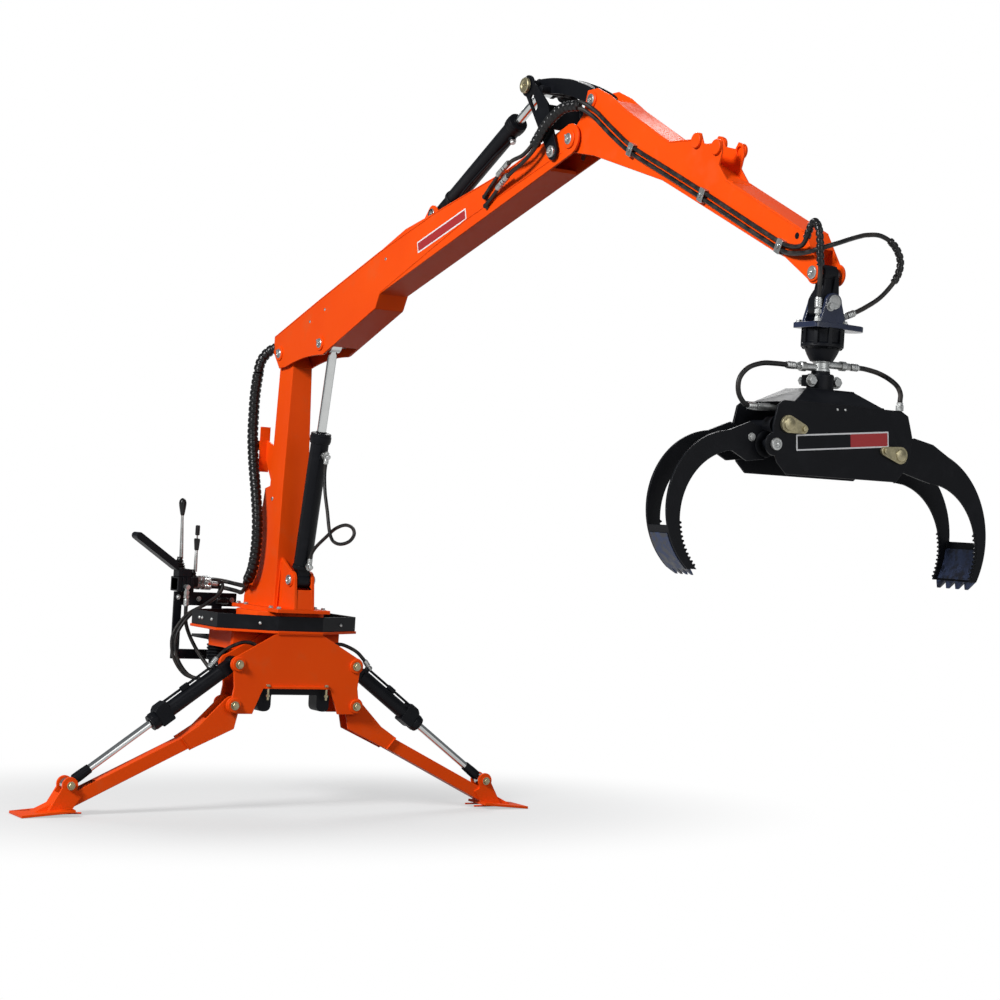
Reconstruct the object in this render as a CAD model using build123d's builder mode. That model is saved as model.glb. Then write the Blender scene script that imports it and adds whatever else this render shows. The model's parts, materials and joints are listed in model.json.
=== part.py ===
from build123d import *
import math
import os

os.makedirs("parts", exist_ok=True)

# A log loader crane on two folding outriggers, in millimetres.
# The origin is on the slew axis at the seat of the saddle clamp, +Z is up.
# The boom reaches along -Y, the outriggers spread along X.

# Frames used for the sketches: side views hold (reach, height), front views hold (x, height)
SIDE = Plane(origin=(0, 0, 0), x_dir=(0, -1, 0), z_dir=(-1, 0, 0))
FRONT = Plane(origin=(0, 0, 0), x_dir=(1, 0, 0), z_dir=(0, -1, 0))

# Common sizes
plate = 8
heavy_plate = 12
play = 6
pin_radius = 12.5
head_radius = 17
head_height = 6
fit_gap = 0.05
seat_gap = 0.3

# Base of two upright plates
ground = -440
base_front = 184
base_gap = 88
base_top = 230
base_top_half = 93
upper_pin = (244, 113)
lower_pin = (253, -39)
lug_radius = 31
waist_half = 256
notch_half = 139
notch_height = 24
lobe_inner = 178
base_bolt_x = 121
base_bolt_z = 41
base_bolt_radius = 7
base_rear = base_front - heavy_plate - base_gap
leg_lane = base_front - heavy_plate - base_gap / 2

# Pedestal, deck and guard ring
pedestal_half = 222
pedestal_height = 70
pedestal_back = -150
deck_thick = 10
deck_rim = 6
guard_half = 290
guard_front = 184
guard_shoulder = 70
guard_back_shoulder = -165
guard_back = -280
guard_height = 55
guard_wall = 8
guard_floor = base_top + deck_thick

# Saddle clamp
saddle_half = 148
saddle_depth = 62
saddle_gap_half = 95
saddle_run = 250

# Slew gear and column
gear_radius = 165
gear_height = 30
column_deck = guard_floor + gear_height
turntable_radius = 166
turntable_height = 38
flange_thick = 14
post_back = -42
post_front = 70
post_top_half = 40
post_foot_half = 54
flange_back = 200
flange_front = 205
flange_top = column_deck + turntable_height + flange_thick
boom_foot_pin = (-19, 1285)
boom_foot_ear = 40
lift_foot_pin = (158, 432)
lift_ear = 34
lift_gap = 60

# Boom
boom_half = 56
boom_wall = 8
lift_head_pin = (318, 1313)
elbow_pin = (1941, 1890)
elbow_radius = 48
stick_lug_pin = (1062, 1733)
stick_lug_radius = 30
rocker_pin = (1863, 1857)

# Elbow linkage
rocker_head = (1696, 2084)
link_pin = (2035, 2001)
rocker_half = boom_half + play + plate
link_half = 30
rocker_radius = 26
web_bottom = (1822, 1936)
web_top = (1796, 2014)
web_thick = 10

# Stick
stick_half = 42
tip_pin = (3151, 1406)
tip_radius = 30

# Cylinders: barrel radius, rod radius, eye radius
leg_barrel_radius = 28
leg_rod_radius = 14
leg_barrel_length = 385
lift_barrel_radius = 34
lift_rod_radius = 17
lift_barrel_length = 560
stick_barrel_radius = 29
stick_rod_radius = 15
stick_barrel_length = 545

# Legs
foot_pin = (862, -331)
tube_height = 48
tube_width = 50
tube_start = (425, -181)
ear_radius = 30
foot_inner = 848
foot_outer = 1048
foot_drop = 16
foot_width = 134
foot_thick = 10
foot_play = 16

# Rotator and grapple, hung from the stick's tip
cross_pin_z = 1330
flange_z = 1262
rotator_radius = 58
rotator_height = 62
grapple_top = 1098
grapple_shoulder = 1058
tine_pin = (208, 943)
tip_height = 612
tip_sheet = 108
body_half = 252
body_bottom = 868
body_gap_half = 82
right_tine_half = 72
left_tine_half = 43


def polar(start, end, distance):
    """Point on the line from start to end at a distance from start."""
    span = math.dist(start, end)
    return (start[0] + (end[0] - start[0]) * distance / span,
            start[1] + (end[1] - start[1]) * distance / span)


def slope(start, end):
    return math.degrees(math.atan2(end[1] - start[1], end[0] - start[0]))


def save(builder, name):
    builder.part.label = name
    export_step(builder.part, "parts/" + name + ".step")


def bar_profile(start, end, half, round_start, round_end):
    """Bar of constant height from one eye to another."""
    with Locations(start):
        Circle(round_start)
    with Locations(end):
        Circle(round_end)
    middle = ((start[0] + end[0]) / 2, (start[1] + end[1]) / 2)
    with Locations(middle):
        Rectangle(math.dist(start, end), 2 * half, rotation=slope(start, end))


# Base plates
for name, face in (("base_front_plate", base_front), ("base_rear_plate", base_rear)):
    with BuildPart() as base_plate:
        with BuildSketch(FRONT.offset(face - heavy_plate)):
            with BuildLine():
                Polyline((base_top_half, base_top), (upper_pin[0] + 12, upper_pin[1] + lug_radius - 4),
                         (waist_half + 6, upper_pin[1] - 20), (waist_half, 30),
                         (waist_half + 8, lower_pin[1] + 20), (lower_pin[0], lower_pin[1] - lug_radius),
                         (lobe_inner, lower_pin[1] - lug_radius), (lobe_inner - 6, lower_pin[1] - 15),
                         (notch_half, notch_height), (0, notch_height), (0, base_top),
                         (base_top_half, base_top))
            make_face()
            with Locations(upper_pin, lower_pin):
                Circle(lug_radius)
            mirror(about=Plane.YZ)
        extrude(amount=heavy_plate)
        with BuildSketch(FRONT.offset(face - heavy_plate)):
            with Locations(upper_pin, lower_pin, (-upper_pin[0], upper_pin[1]), (-lower_pin[0], lower_pin[1])):
                Circle(pin_radius + fit_gap)
        extrude(amount=heavy_plate, mode=Mode.SUBTRACT)
    save(base_plate, name)

with BuildPart() as pedestal:
    depth = base_rear - heavy_plate - pedestal_back
    with BuildSketch(Plane.XY.offset(base_top - pedestal_height)):
        with Locations((0, -(base_rear - heavy_plate) + depth / 2)):
            Rectangle(2 * pedestal_half, depth)
    extrude(amount=pedestal_height)
    with BuildSketch(Plane.XY.offset(notch_height)):
        with Locations((0, -(base_rear - heavy_plate) + depth / 2)):
            Rectangle(2 * notch_half, depth)
    extrude(amount=base_top - pedestal_height - notch_height)
save(pedestal, "pedestal")


def guard_outline(grow):
    """Eight-sided deck outline seen from above."""
    reach = guard_half + grow
    with BuildLine() as rim:
        Polyline((base_top_half, -guard_front - grow), (reach, -guard_shoulder), (reach, -guard_back_shoulder),
                 (base_top_half, -guard_back + grow), (-base_top_half, -guard_back + grow),
                 (-reach, -guard_back_shoulder), (-reach, -guard_shoulder),
                 (-base_top_half, -guard_front - grow), (base_top_half, -guard_front - grow))
    make_face(rim.edges())


with BuildPart() as deck_plate:
    with BuildSketch(Plane.XY.offset(base_top)):
        guard_outline(deck_rim)
    extrude(amount=deck_thick)
save(deck_plate, "deck_plate")

with BuildPart() as guard_ring:
    with BuildSketch(Plane.XY.offset(guard_floor)):
        guard_outline(0)
        offset(amount=-guard_wall, mode=Mode.SUBTRACT)
    extrude(amount=guard_height)
save(guard_ring, "guard_ring")

with BuildPart() as saddle_clamp:
    with BuildSketch(FRONT.offset(base_front - 20 - saddle_run)):
        with Locations((0, notch_height / 2)):
            Rectangle(2 * notch_half - 2, notch_height)
        with Locations(((saddle_half + saddle_gap_half) / 2, -saddle_depth / 2),
                       (-(saddle_half + saddle_gap_half) / 2, -saddle_depth / 2)):
            Rectangle(saddle_half - saddle_gap_half, saddle_depth)
    extrude(amount=saddle_run)
save(saddle_clamp, "saddle_clamp")

# Pins of the base
with BuildPart() as base_pins:
    with BuildSketch(FRONT.offset(base_rear - heavy_plate - head_height)):
        with Locations(upper_pin, lower_pin, (-upper_pin[0], upper_pin[1]), (-lower_pin[0], lower_pin[1])):
            Circle(pin_radius)
    extrude(amount=base_gap + 2 * heavy_plate + 2 * head_height)
    for face in (base_rear - heavy_plate - head_height, base_front):
        with BuildSketch(FRONT.offset(face)):
            with Locations(upper_pin, lower_pin, (-upper_pin[0], upper_pin[1]), (-lower_pin[0], lower_pin[1])):
                Circle(head_radius)
        extrude(amount=head_height)
save(base_pins, "base_pins")

# Outriggers, mirrored for the two sides
tube_dir = ((foot_pin[0] - lower_pin[0]) / math.dist(lower_pin, foot_pin),
            (foot_pin[1] - lower_pin[1]) / math.dist(lower_pin, foot_pin))
tube_up = (-tube_dir[1], tube_dir[0])


def foot_middle(out):
    """Height of the slanting foot plate's middle at a distance out."""
    return ground + foot_thick / 2 + foot_drop * (foot_outer - out) / (foot_outer - foot_inner)


def tube_point(up, height):
    """Point of the tube's edge, up from its middle line, at a height."""
    start = (tube_start[0] + up * tube_up[0], tube_start[1] + up * tube_up[1])
    run = (height - start[1]) / tube_dir[1]
    return (start[0] + run * tube_dir[0], height)


ear_half = tube_width / 2 + plate
leg_axis = slope(upper_pin, foot_pin)
for side, word in ((1, "right"), (-1, "left")):
    view = FRONT if side == 1 else Plane(origin=(0, 0, 0), x_dir=(-1, 0, 0), z_dir=(0, 1, 0))
    lane = leg_lane * side

    with BuildPart() as leg:
        half = tube_height / 2
        with BuildSketch(view.offset(lane)):
            with BuildLine():
                Polyline((tube_start[0] + half * tube_up[0], tube_start[1] + half * tube_up[1]),
                         tube_point(half, ground + 10), tube_point(-half, ground + 19),
                         (tube_start[0] - half * tube_up[0], tube_start[1] - half * tube_up[1]),
                         (tube_start[0] - half * tube_up[0] - 90, tube_start[1] + 20),
                         (tube_start[0] + half * tube_up[0] - 90, tube_start[1] + 92),
                         (tube_start[0] + half * tube_up[0], tube_start[1] + half * tube_up[1]))
            make_face()
        extrude(amount=tube_width / 2, both=True)
        for inner in (ear_half - plate, -ear_half):
            with BuildSketch(view.offset(lane + inner)):
                with BuildLine():
                    Polyline((lower_pin[0] + 24, lower_pin[1] + 24), (381, -118), (447, -160), (410, -205),
                             (238, -128), (lower_pin[0] - 33, lower_pin[1] - 10),
                             (lower_pin[0] + 24, lower_pin[1] + 24))
                make_face()
                with Locations(lower_pin):
                    Circle(ear_radius + 3)
                    Circle(pin_radius + fit_gap, mode=Mode.SUBTRACT)
            extrude(amount=plate)
        with BuildSketch(view.offset(lane)):
            bar_profile(tube_point(0, foot_pin[1] - 62), foot_pin, 26, 20, ear_radius)
            with BuildLine():
                Polyline((foot_pin[0] + 27, foot_pin[1] - 5), (foot_pin[0] + 80, foot_middle(foot_pin[0] + 80)),
                         (foot_pin[0] - 10, foot_middle(foot_pin[0] - 10)), (foot_pin[0] - 45, foot_pin[1] - 40),
                         (foot_pin[0] + 27, foot_pin[1] - 5))
            make_face()
        extrude(amount=tube_width / 2 + plate, both=True)
        with BuildSketch(view.offset(lane)):
            with Locations(foot_pin):
                Circle(ear_radius + foot_play)
            with Locations((foot_pin[0] - 35, foot_pin[1] + 25)):
                Rectangle(120, 2 * (ear_radius + foot_play), rotation=leg_axis)
        extrude(amount=tube_width / 2 - 2, both=True, mode=Mode.SUBTRACT)
        with BuildSketch(view.offset(lane - foot_width / 2)):
            with BuildLine():
                Polyline((foot_inner, ground + foot_drop), (foot_outer, ground), (foot_outer, ground + foot_thick),
                         (foot_inner, ground + foot_drop + foot_thick), (foot_inner, ground + foot_drop))
            make_face()
        extrude(amount=foot_width)
        with BuildSketch(view.offset(lane)):
            with Locations(foot_pin):
                Circle(pin_radius)
        extrude(amount=tube_width / 2 + plate + head_height, both=True)
        with BuildSketch(view.offset(lane)):
            with Locations(foot_pin):
                Circle(pin_radius + 20)
        extrude(amount=18, both=True, mode=Mode.SUBTRACT)
    save(leg, "leg_" + word)

    with BuildPart() as barrel:
        bore_start = polar(upper_pin, foot_pin, 60)
        bore_end = polar(upper_pin, foot_pin, leg_barrel_length)
        axis_plane = Plane(origin=view.offset(lane).from_local_coords((bore_start[0], bore_start[1], 0)),
                           z_dir=view.from_local_coords((bore_end[0], bore_end[1], 0))
                           - view.from_local_coords((bore_start[0], bore_start[1], 0)))
        with BuildSketch(axis_plane):
            Circle(leg_barrel_radius)
        extrude(amount=leg_barrel_length - 60)
        with BuildSketch(view.offset(lane)):
            with Locations(upper_pin):
                Circle(27)
            with Locations(polar(upper_pin, foot_pin, 35)):
                Rectangle(60, 44, rotation=leg_axis)
        extrude(amount=22, both=True)
        with BuildSketch(view.offset(lane)):
            with Locations(upper_pin):
                Circle(pin_radius + fit_gap)
        extrude(amount=40, both=True, mode=Mode.SUBTRACT)
        with BuildSketch(axis_plane):
            Circle(leg_rod_radius + seat_gap)
        extrude(amount=leg_barrel_length - 60, mode=Mode.SUBTRACT)
    save(barrel, "leg_barrel_" + word)

    with BuildPart() as rod:
        rod_length = math.dist(upper_pin, foot_pin) - 18
        with BuildSketch(axis_plane.offset(150)):
            Circle(leg_rod_radius)
        extrude(amount=rod_length - 60 - 150)
        with BuildSketch(view.offset(lane)):
            with Locations(foot_pin):
                Circle(24)
                Circle(pin_radius + 2, mode=Mode.SUBTRACT)
        extrude(amount=16, both=True)
    save(rod, "leg_rod_" + word)

# Slew gear and the column that turns on it
with BuildPart() as slew_gear:
    with BuildSketch(Plane.XY.offset(guard_floor)):
        Circle(gear_radius)
    extrude(amount=gear_height)
save(slew_gear, "slew_gear")

with BuildPart() as column:
    with BuildSketch(SIDE):
        with BuildLine():
            Polyline((post_back, boom_foot_pin[1]), (post_back, 780), (post_back - 42, 770), (-120, 560),
                     (-flange_back, flange_top + 30), (-flange_back, flange_top - flange_thick),
                     (flange_front, flange_top - flange_thick), (flange_front, flange_top),
                     (post_front, flange_top), (post_front, 1233),
                     (boom_foot_pin[0] + 38, boom_foot_pin[1] + 10), (post_back, boom_foot_pin[1]))
        make_face()
        with Locations(boom_foot_pin):
            Circle(boom_foot_ear)
    extrude(amount=120, both=True)
    with BuildSketch(FRONT.offset(-260)):
        with BuildLine():
            Polyline((0, column_deck), (110, column_deck), (110, flange_top), (post_foot_half + 8, flange_top),
                     (post_foot_half, 780), (post_top_half, 1233), (post_top_half, 1400), (0, 1400),
                     (0, column_deck))
        make_face()
        mirror(about=Plane.YZ)
    extrude(amount=520, mode=Mode.INTERSECT)
    with BuildSketch(SIDE):
        with Locations(boom_foot_pin):
            Circle(pin_radius + fit_gap)
    extrude(amount=200, both=True, mode=Mode.SUBTRACT)
    with BuildSketch(Plane.XY.offset(column_deck)):
        Circle(turntable_radius)
    extrude(amount=flange_top - flange_thick - column_deck)
save(column, "column")

with BuildPart() as lift_bracket:
    for inner in (lift_gap / 2, -lift_gap / 2 - heavy_plate):
        with BuildSketch(SIDE.offset(inner)):
            with BuildLine():
                Polyline((post_front, lift_foot_pin[1] + 80), (post_front, flange_top),
                         (flange_front, flange_top), (lift_foot_pin[0] + lift_ear, lift_foot_pin[1]),
                         (lift_foot_pin[0], lift_foot_pin[1] + lift_ear - 4),
                         (post_front, lift_foot_pin[1] + 80))
            make_face()
            with Locations(lift_foot_pin):
                Circle(lift_ear)
        extrude(amount=heavy_plate)
    with BuildSketch(SIDE):
        with BuildLine():
            Polyline((flange_front - 12, flange_top), (flange_front, flange_top), (196, 396), (184, 396),
                     (flange_front - 12, flange_top))
        make_face()
    extrude(amount=lift_gap / 2, both=True)
    with BuildSketch(SIDE):
        with Locations(lift_foot_pin):
            Circle(pin_radius)
    extrude(amount=lift_gap / 2 + heavy_plate + head_height, both=True)
save(lift_bracket, "lift_bracket")


def cylinder_pair(start, end, barrel_length, barrel_radius, rod_radius, eye_half, eye_radius, cap, name):
    """Barrel and rod of one ram in the boom's plane, with an eye at each end."""
    lean = slope(start, end)
    span = math.dist(start, end)
    along = Plane(origin=SIDE.from_local_coords((start[0], start[1], 0)),
                  z_dir=SIDE.from_local_coords((end[0], end[1], 0))
                  - SIDE.from_local_coords((start[0], start[1], 0)))
    with BuildPart() as ram_barrel:
        with BuildSketch(along.offset(cap)):
            Circle(barrel_radius)
        extrude(amount=barrel_length - cap)
        with BuildSketch(along.offset(barrel_length - 36)):
            Circle(barrel_radius + 4)
        extrude(amount=36)
        with BuildSketch(SIDE):
            with Locations(start):
                Circle(eye_radius)
            with Locations(polar(start, end, cap / 2 + 4)):
                Rectangle(cap + 8, 1.4 * eye_radius, rotation=lean)
        extrude(amount=eye_half, both=True)
        with BuildSketch(SIDE):
            with Locations(start):
                Circle(pin_radius + fit_gap)
        extrude(amount=60, both=True, mode=Mode.SUBTRACT)
        with BuildSketch(along.offset(cap + 30)):
            Circle(rod_radius + seat_gap)
        extrude(amount=barrel_length, mode=Mode.SUBTRACT)
    save(ram_barrel, name + "_barrel")
    with BuildPart() as ram_rod:
        with BuildSketch(along.offset(span - barrel_length + cap)):
            Circle(rod_radius)
        extrude(amount=barrel_length - cap - eye_radius + 6)
        with BuildSketch(SIDE):
            with Locations(end):
                Circle(eye_radius)
                Circle(pin_radius + 2, mode=Mode.SUBTRACT)
        extrude(amount=eye_half - 4, both=True)
    save(ram_rod, name + "_rod")


cylinder_pair(lift_foot_pin, lift_head_pin, lift_barrel_length, lift_barrel_radius, lift_rod_radius,
              24, 30, 42, "lift")

# Boom: two cheeks, a top plate and a bottom plate folded into one box
boom_top = ((-75, 1351), (287, 1475), (740, 1624), (920, 1690), (1133, 1734), (1580, 1832), (1927, 1936))
boom_bottom = ((1956, 1843), (759, 1473), (730, 1421), (341, 1270))
with BuildPart() as boom:
    with BuildSketch(SIDE):
        with BuildLine():
            outline = Polyline(*boom_top, *boom_bottom)
            foot_arc = ThreePointArc(boom_bottom[-1], (180, 1262), (35, 1233))
            Polyline((35, 1233), (-20, 1228), (-75, 1290), boom_top[0])
        make_face()
        with Locations(elbow_pin):
            Circle(elbow_radius)
    extrude(amount=boom_half, both=True)
    with BuildSketch(SIDE):
        with BuildLine():
            Polyline((-90, 1200), (-90, 1336), (287, 1465), (740, 1614), (920, 1680), (1133, 1724),
                     (1580, 1822), (1830, 1898), (1830, 1815), (759, 1483), (720, 1431), (420, 1312),
                     (360, 1200), (-90, 1200))
        make_face()
    extrude(amount=boom_half - boom_wall, both=True, mode=Mode.SUBTRACT)
    with BuildSketch(SIDE):
        with BuildLine():
            Polyline((1830, 1700), (1830, 2000), (2020, 2060), (2020, 1700), (1830, 1700))
        make_face()
    extrude(amount=stick_half + play, both=True, mode=Mode.SUBTRACT)
    with BuildSketch(SIDE):
        with Locations(boom_foot_pin, lift_head_pin, elbow_pin, rocker_pin):
            Circle(pin_radius + fit_gap)
    extrude(amount=100, both=True, mode=Mode.SUBTRACT)
    for inner in (26, -26 - plate):
        with BuildSketch(SIDE.offset(inner)):
            with BuildLine():
                Polyline((stick_lug_pin[0] - 70, stick_lug_pin[1] - 30), (stick_lug_pin[0] + 60, stick_lug_pin[1] - 15),
                         (stick_lug_pin[0] + 20, stick_lug_pin[1] + 24), (stick_lug_pin[0] - 24, stick_lug_pin[1] + 18),
                         (stick_lug_pin[0] - 70, stick_lug_pin[1] - 30))
            make_face()
            with Locations(stick_lug_pin):
                Circle(stick_lug_radius)
        extrude(amount=plate)
    with BuildSketch(SIDE):
        with Locations(stick_lug_pin):
            Circle(pin_radius + fit_gap)
    extrude(amount=100, both=True, mode=Mode.SUBTRACT)
    with BuildSketch(SIDE):
        with Locations((stick_lug_pin[0] + 30, stick_lug_pin[1])):
            Rectangle(140, 90)
    extrude(amount=26, both=True, mode=Mode.SUBTRACT)
    for face in (26 + plate, -26 - plate - 10):
        with BuildSketch(SIDE.offset(face)):
            with Locations(stick_lug_pin):
                Circle(head_radius + 1)
        extrude(amount=10, mode=Mode.SUBTRACT)
save(boom, "boom")

with BuildPart() as boom_pins:
    for spot, half in ((boom_foot_pin, boom_half), (elbow_pin, boom_half), (stick_lug_pin, 26 + plate)):
        with BuildSketch(SIDE):
            with Locations(spot):
                Circle(pin_radius)
        extrude(amount=half + head_height, both=True)
        for face in (half, -half - head_height):
            with BuildSketch(SIDE.offset(face)):
                with Locations(spot):
                    Circle(head_radius)
            extrude(amount=head_height)
    for face in (28, -boom_half - head_height):
        with BuildSketch(SIDE.offset(face)):
            with Locations(lift_head_pin):
                Circle(pin_radius)
        extrude(amount=boom_half + head_height - 28)
    for face in (stick_half + play, -rocker_half - head_height):
        with BuildSketch(SIDE.offset(face)):
            with Locations(rocker_pin):
                Circle(pin_radius)
        extrude(amount=rocker_half + head_height - stick_half - play)
save(boom_pins, "boom_pins")

# Rocker plates each side of the boom, joined by stub pins at the top
with BuildPart() as rocker:
    for inner in (rocker_half - plate, -rocker_half):
        with BuildSketch(SIDE.offset(inner)):
            bar_profile(rocker_pin, rocker_head, 22, rocker_radius, rocker_radius + 8)
            with BuildLine():
                Polyline((rocker_head[0] - 6, rocker_head[1] + 34), (rocker_head[0] + 70, rocker_head[1] - 20),
                         (web_top[0] + 24, web_top[1]), (web_bottom[0] + 34, web_bottom[1]),
                         (rocker_pin[0] + rocker_radius, rocker_pin[1] + 8),
                         (rocker_pin[0] - rocker_radius + 2, rocker_pin[1] + 8),
                         (rocker_head[0] - 32, rocker_head[1]), (rocker_head[0] - 6, rocker_head[1] + 34))
            make_face()
            with Locations(polar(rocker_head, rocker_pin, 72)):
                SlotOverall(62, 22, rotation=slope(rocker_head, rocker_pin), mode=Mode.SUBTRACT)
            with Locations(rocker_pin):
                Circle(pin_radius + fit_gap, mode=Mode.SUBTRACT)
        extrude(amount=plate)
    with BuildSketch(SIDE):
        web_middle = ((web_top[0] + web_bottom[0]) / 2, (web_top[1] + web_bottom[1]) / 2)
        with Locations(web_middle):
            Rectangle(math.dist(web_top, web_bottom), web_thick, rotation=slope(web_top, web_bottom))
    extrude(amount=rocker_half - plate, both=True)
    for face in (link_half + play, -rocker_half - head_height):
        with BuildSketch(SIDE.offset(face)):
            with Locations(rocker_head):
                Circle(22)
        extrude(amount=rocker_half + head_height - link_half - play)
save(rocker, "rocker")

with BuildPart() as upper_link:
    for inner in (link_half - plate, -link_half):
        with BuildSketch(SIDE.offset(inner)):
            with Locations(rocker_head, link_pin):
                Circle(28)
            with BuildLine():
                ThreePointArc((rocker_head[0] - 10, rocker_head[1] + 26), (1880, 2086),
                              (link_pin[0] + 10, link_pin[1] + 26))
                Line((link_pin[0] + 10, link_pin[1] + 26), (link_pin[0] - 10, link_pin[1] - 26))
                ThreePointArc((link_pin[0] - 10, link_pin[1] - 26), (1870, 2038),
                              (rocker_head[0] + 10, rocker_head[1] - 26))
                Line((rocker_head[0] + 10, rocker_head[1] - 26), (rocker_head[0] - 10, rocker_head[1] + 26))
            make_face()
            with Locations(link_pin):
                Circle(pin_radius + fit_gap, mode=Mode.SUBTRACT)
        extrude(amount=plate)
    with BuildSketch(SIDE):
        with BuildLine():
            ThreePointArc((1760, 2096), (1880, 2086), (1990, 2040))
            Line((1990, 2040), (1987, 2031))
            ThreePointArc((1987, 2031), (1878, 2078), (1759, 2088))
            Line((1759, 2088), (1760, 2096))
        make_face()
    extrude(amount=link_half, both=True)
save(upper_link, "upper_link")

cylinder_pair(stick_lug_pin, rocker_head, stick_barrel_length, stick_barrel_radius, stick_rod_radius,
              20, 26, 88, "stick")

# Stick
stick_top = ((1985, 1960), (2006, 2034), (2060, 2034), (2131, 2004), (2213, 1954), (2455, 1828),
             (2570, 1822), (2586, 1840), (2606, 1836), (2620, 1806), (2670, 1794), (2684, 1812), (2706, 1804),
             (2712, 1772), (2700, 1735), (2737, 1693), (3098, 1522))
stick_bottom = ((3180, 1400), (3125, 1390), (3023, 1455), (2988, 1468), (2618, 1634), (2433, 1716),
                (2158, 1803), (2057, 1828), (1941, 1850), (1901, 1890))
with BuildPart() as stick:
    with BuildSketch(SIDE):
        with BuildLine():
            Polyline(*stick_top, *stick_bottom, stick_top[0])
        make_face()
        with Locations(elbow_pin):
            Circle(40)
        with Locations(tip_pin):
            Circle(tip_radius)
        with Locations(link_pin):
            Circle(30)
    extrude(amount=stick_half, both=True)
    with BuildSketch(SIDE):
        with Locations(elbow_pin, link_pin, tip_pin, (2593, 1815), (2690, 1786)):
            Circle(pin_radius + fit_gap)
    extrude(amount=100, both=True, mode=Mode.SUBTRACT)
    with BuildSketch(SIDE):
        with BuildLine():
            Polyline((1960, 1975), (2100, 1960), (2180, 1990), (2120, 2080), (1940, 2090), (1960, 1975))
        make_face()
        with BuildLine():
            Polyline((2440, 1836), (2760, 1682), (2760, 1860), (2440, 1860), (2440, 1836))
        make_face()
        with Locations(tip_pin):
            Circle(tip_radius + 40)
    extrude(amount=stick_half - 7, both=True, mode=Mode.SUBTRACT)
save(stick, "stick")

with BuildPart() as stick_pins:
    for spot, half in ((link_pin, stick_half), (tip_pin, stick_half)):
        with BuildSketch(SIDE):
            with Locations(spot):
                Circle(pin_radius)
        extrude(amount=half + head_height, both=True)
        for face in (half, -half - head_height):
            with BuildSketch(SIDE.offset(face)):
                with Locations(spot):
                    Circle(head_radius)
            extrude(amount=head_height)
save(stick_pins, "stick_pins")

# Hanger, rotator and grapple on the line under the tip pin
hang = tip_pin[0]
with BuildPart() as hanger:
    with BuildSketch(SIDE):
        bar_profile(tip_pin, (hang, cross_pin_z), 20, 24, 24)
        with Locations(tip_pin):
            Circle(pin_radius + fit_gap, mode=Mode.SUBTRACT)
    extrude(amount=24, both=True)
    with BuildSketch(Plane(origin=(0, -hang, 0), x_dir=(1, 0, 0), z_dir=(0, -1, 0))):
        with Locations((0, cross_pin_z)):
            Circle(pin_radius)
    extrude(amount=44, both=True)
save(hanger, "hanger")

with BuildPart() as rotator:
    with BuildSketch(Plane.XY.offset(flange_z)):
        with Locations((0, -hang)):
            Rectangle(130, 100)
    extrude(amount=12)
    for inner in (28, -28 - heavy_plate):
        with BuildSketch(Plane(origin=(0, -hang - inner, 0), x_dir=(1, 0, 0), z_dir=(0, -1, 0))):
            with Locations((0, cross_pin_z)):
                Circle(24)
            with Locations((0, (cross_pin_z + flange_z) / 2)):
                Rectangle(48, cross_pin_z - flange_z)
            with Locations((0, cross_pin_z)):
                Circle(pin_radius + fit_gap, mode=Mode.SUBTRACT)
        extrude(amount=heavy_plate)
    with BuildSketch(Plane.XY.offset(flange_z - rotator_height)):
        with Locations((0, -hang)):
            Circle(rotator_radius)
    extrude(amount=rotator_height)
    with BuildSketch(Plane.XY.offset(flange_z)):
        with Locations((62, -hang)):
            Circle(38)
    extrude(amount=12)
save(rotator, "rotator")

with BuildPart() as grapple_head:
    with BuildSketch(Plane.XY.offset(grapple_top)):
        with Locations((0, -hang)):
            Circle(25)
    extrude(amount=flange_z - rotator_height - seat_gap - grapple_top)
    with BuildSketch(Plane.XY.offset(grapple_top)):
        with Locations((0, -hang)):
            Circle(36)
    extrude(amount=46)
save(grapple_head, "grapple_shaft")

with BuildPart() as grapple_body:
    for inner in (body_gap_half, -body_gap_half - plate):
        with BuildSketch(Plane(origin=(0, -hang - inner, 0), x_dir=(1, 0, 0), z_dir=(0, -1, 0))):
            with BuildLine():
                Polyline((66 - body_half, grapple_shoulder), (body_half - 42, grapple_shoulder),
                         (body_half - 18, grapple_shoulder - 12), (body_half, 991), (body_half - 4, 940),
                         (body_half - 22, 898), (body_half - 48, body_bottom), (86 - body_half, body_bottom),
                         (56 - body_half, 896), (40 - body_half, 930), (36 - body_half, 991),
                         (48 - body_half, grapple_shoulder - 14), (66 - body_half, grapple_shoulder))
            make_face()
            with Locations(tine_pin, (-tine_pin[0], tine_pin[1])):
                Circle(30)
        extrude(amount=plate)
    with BuildSketch(Plane.XY.offset(grapple_shoulder)):
        with Locations((0, -hang)):
            Rectangle(300, 2 * body_gap_half + 2 * plate)
    with BuildSketch(Plane.XY.offset(grapple_top)):
        with Locations((0, -hang)):
            Rectangle(160, 90)
    loft()
    with BuildSketch(Plane(origin=(0, -hang, 0), x_dir=(1, 0, 0), z_dir=(0, -1, 0))):
        with Locations(tine_pin, (-tine_pin[0], tine_pin[1])):
            Circle(pin_radius)
        with Locations((-150, 997)):
            Circle(pin_radius)
    extrude(amount=body_gap_half + plate + head_height, both=True)
save(grapple_body, "grapple_body")

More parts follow.
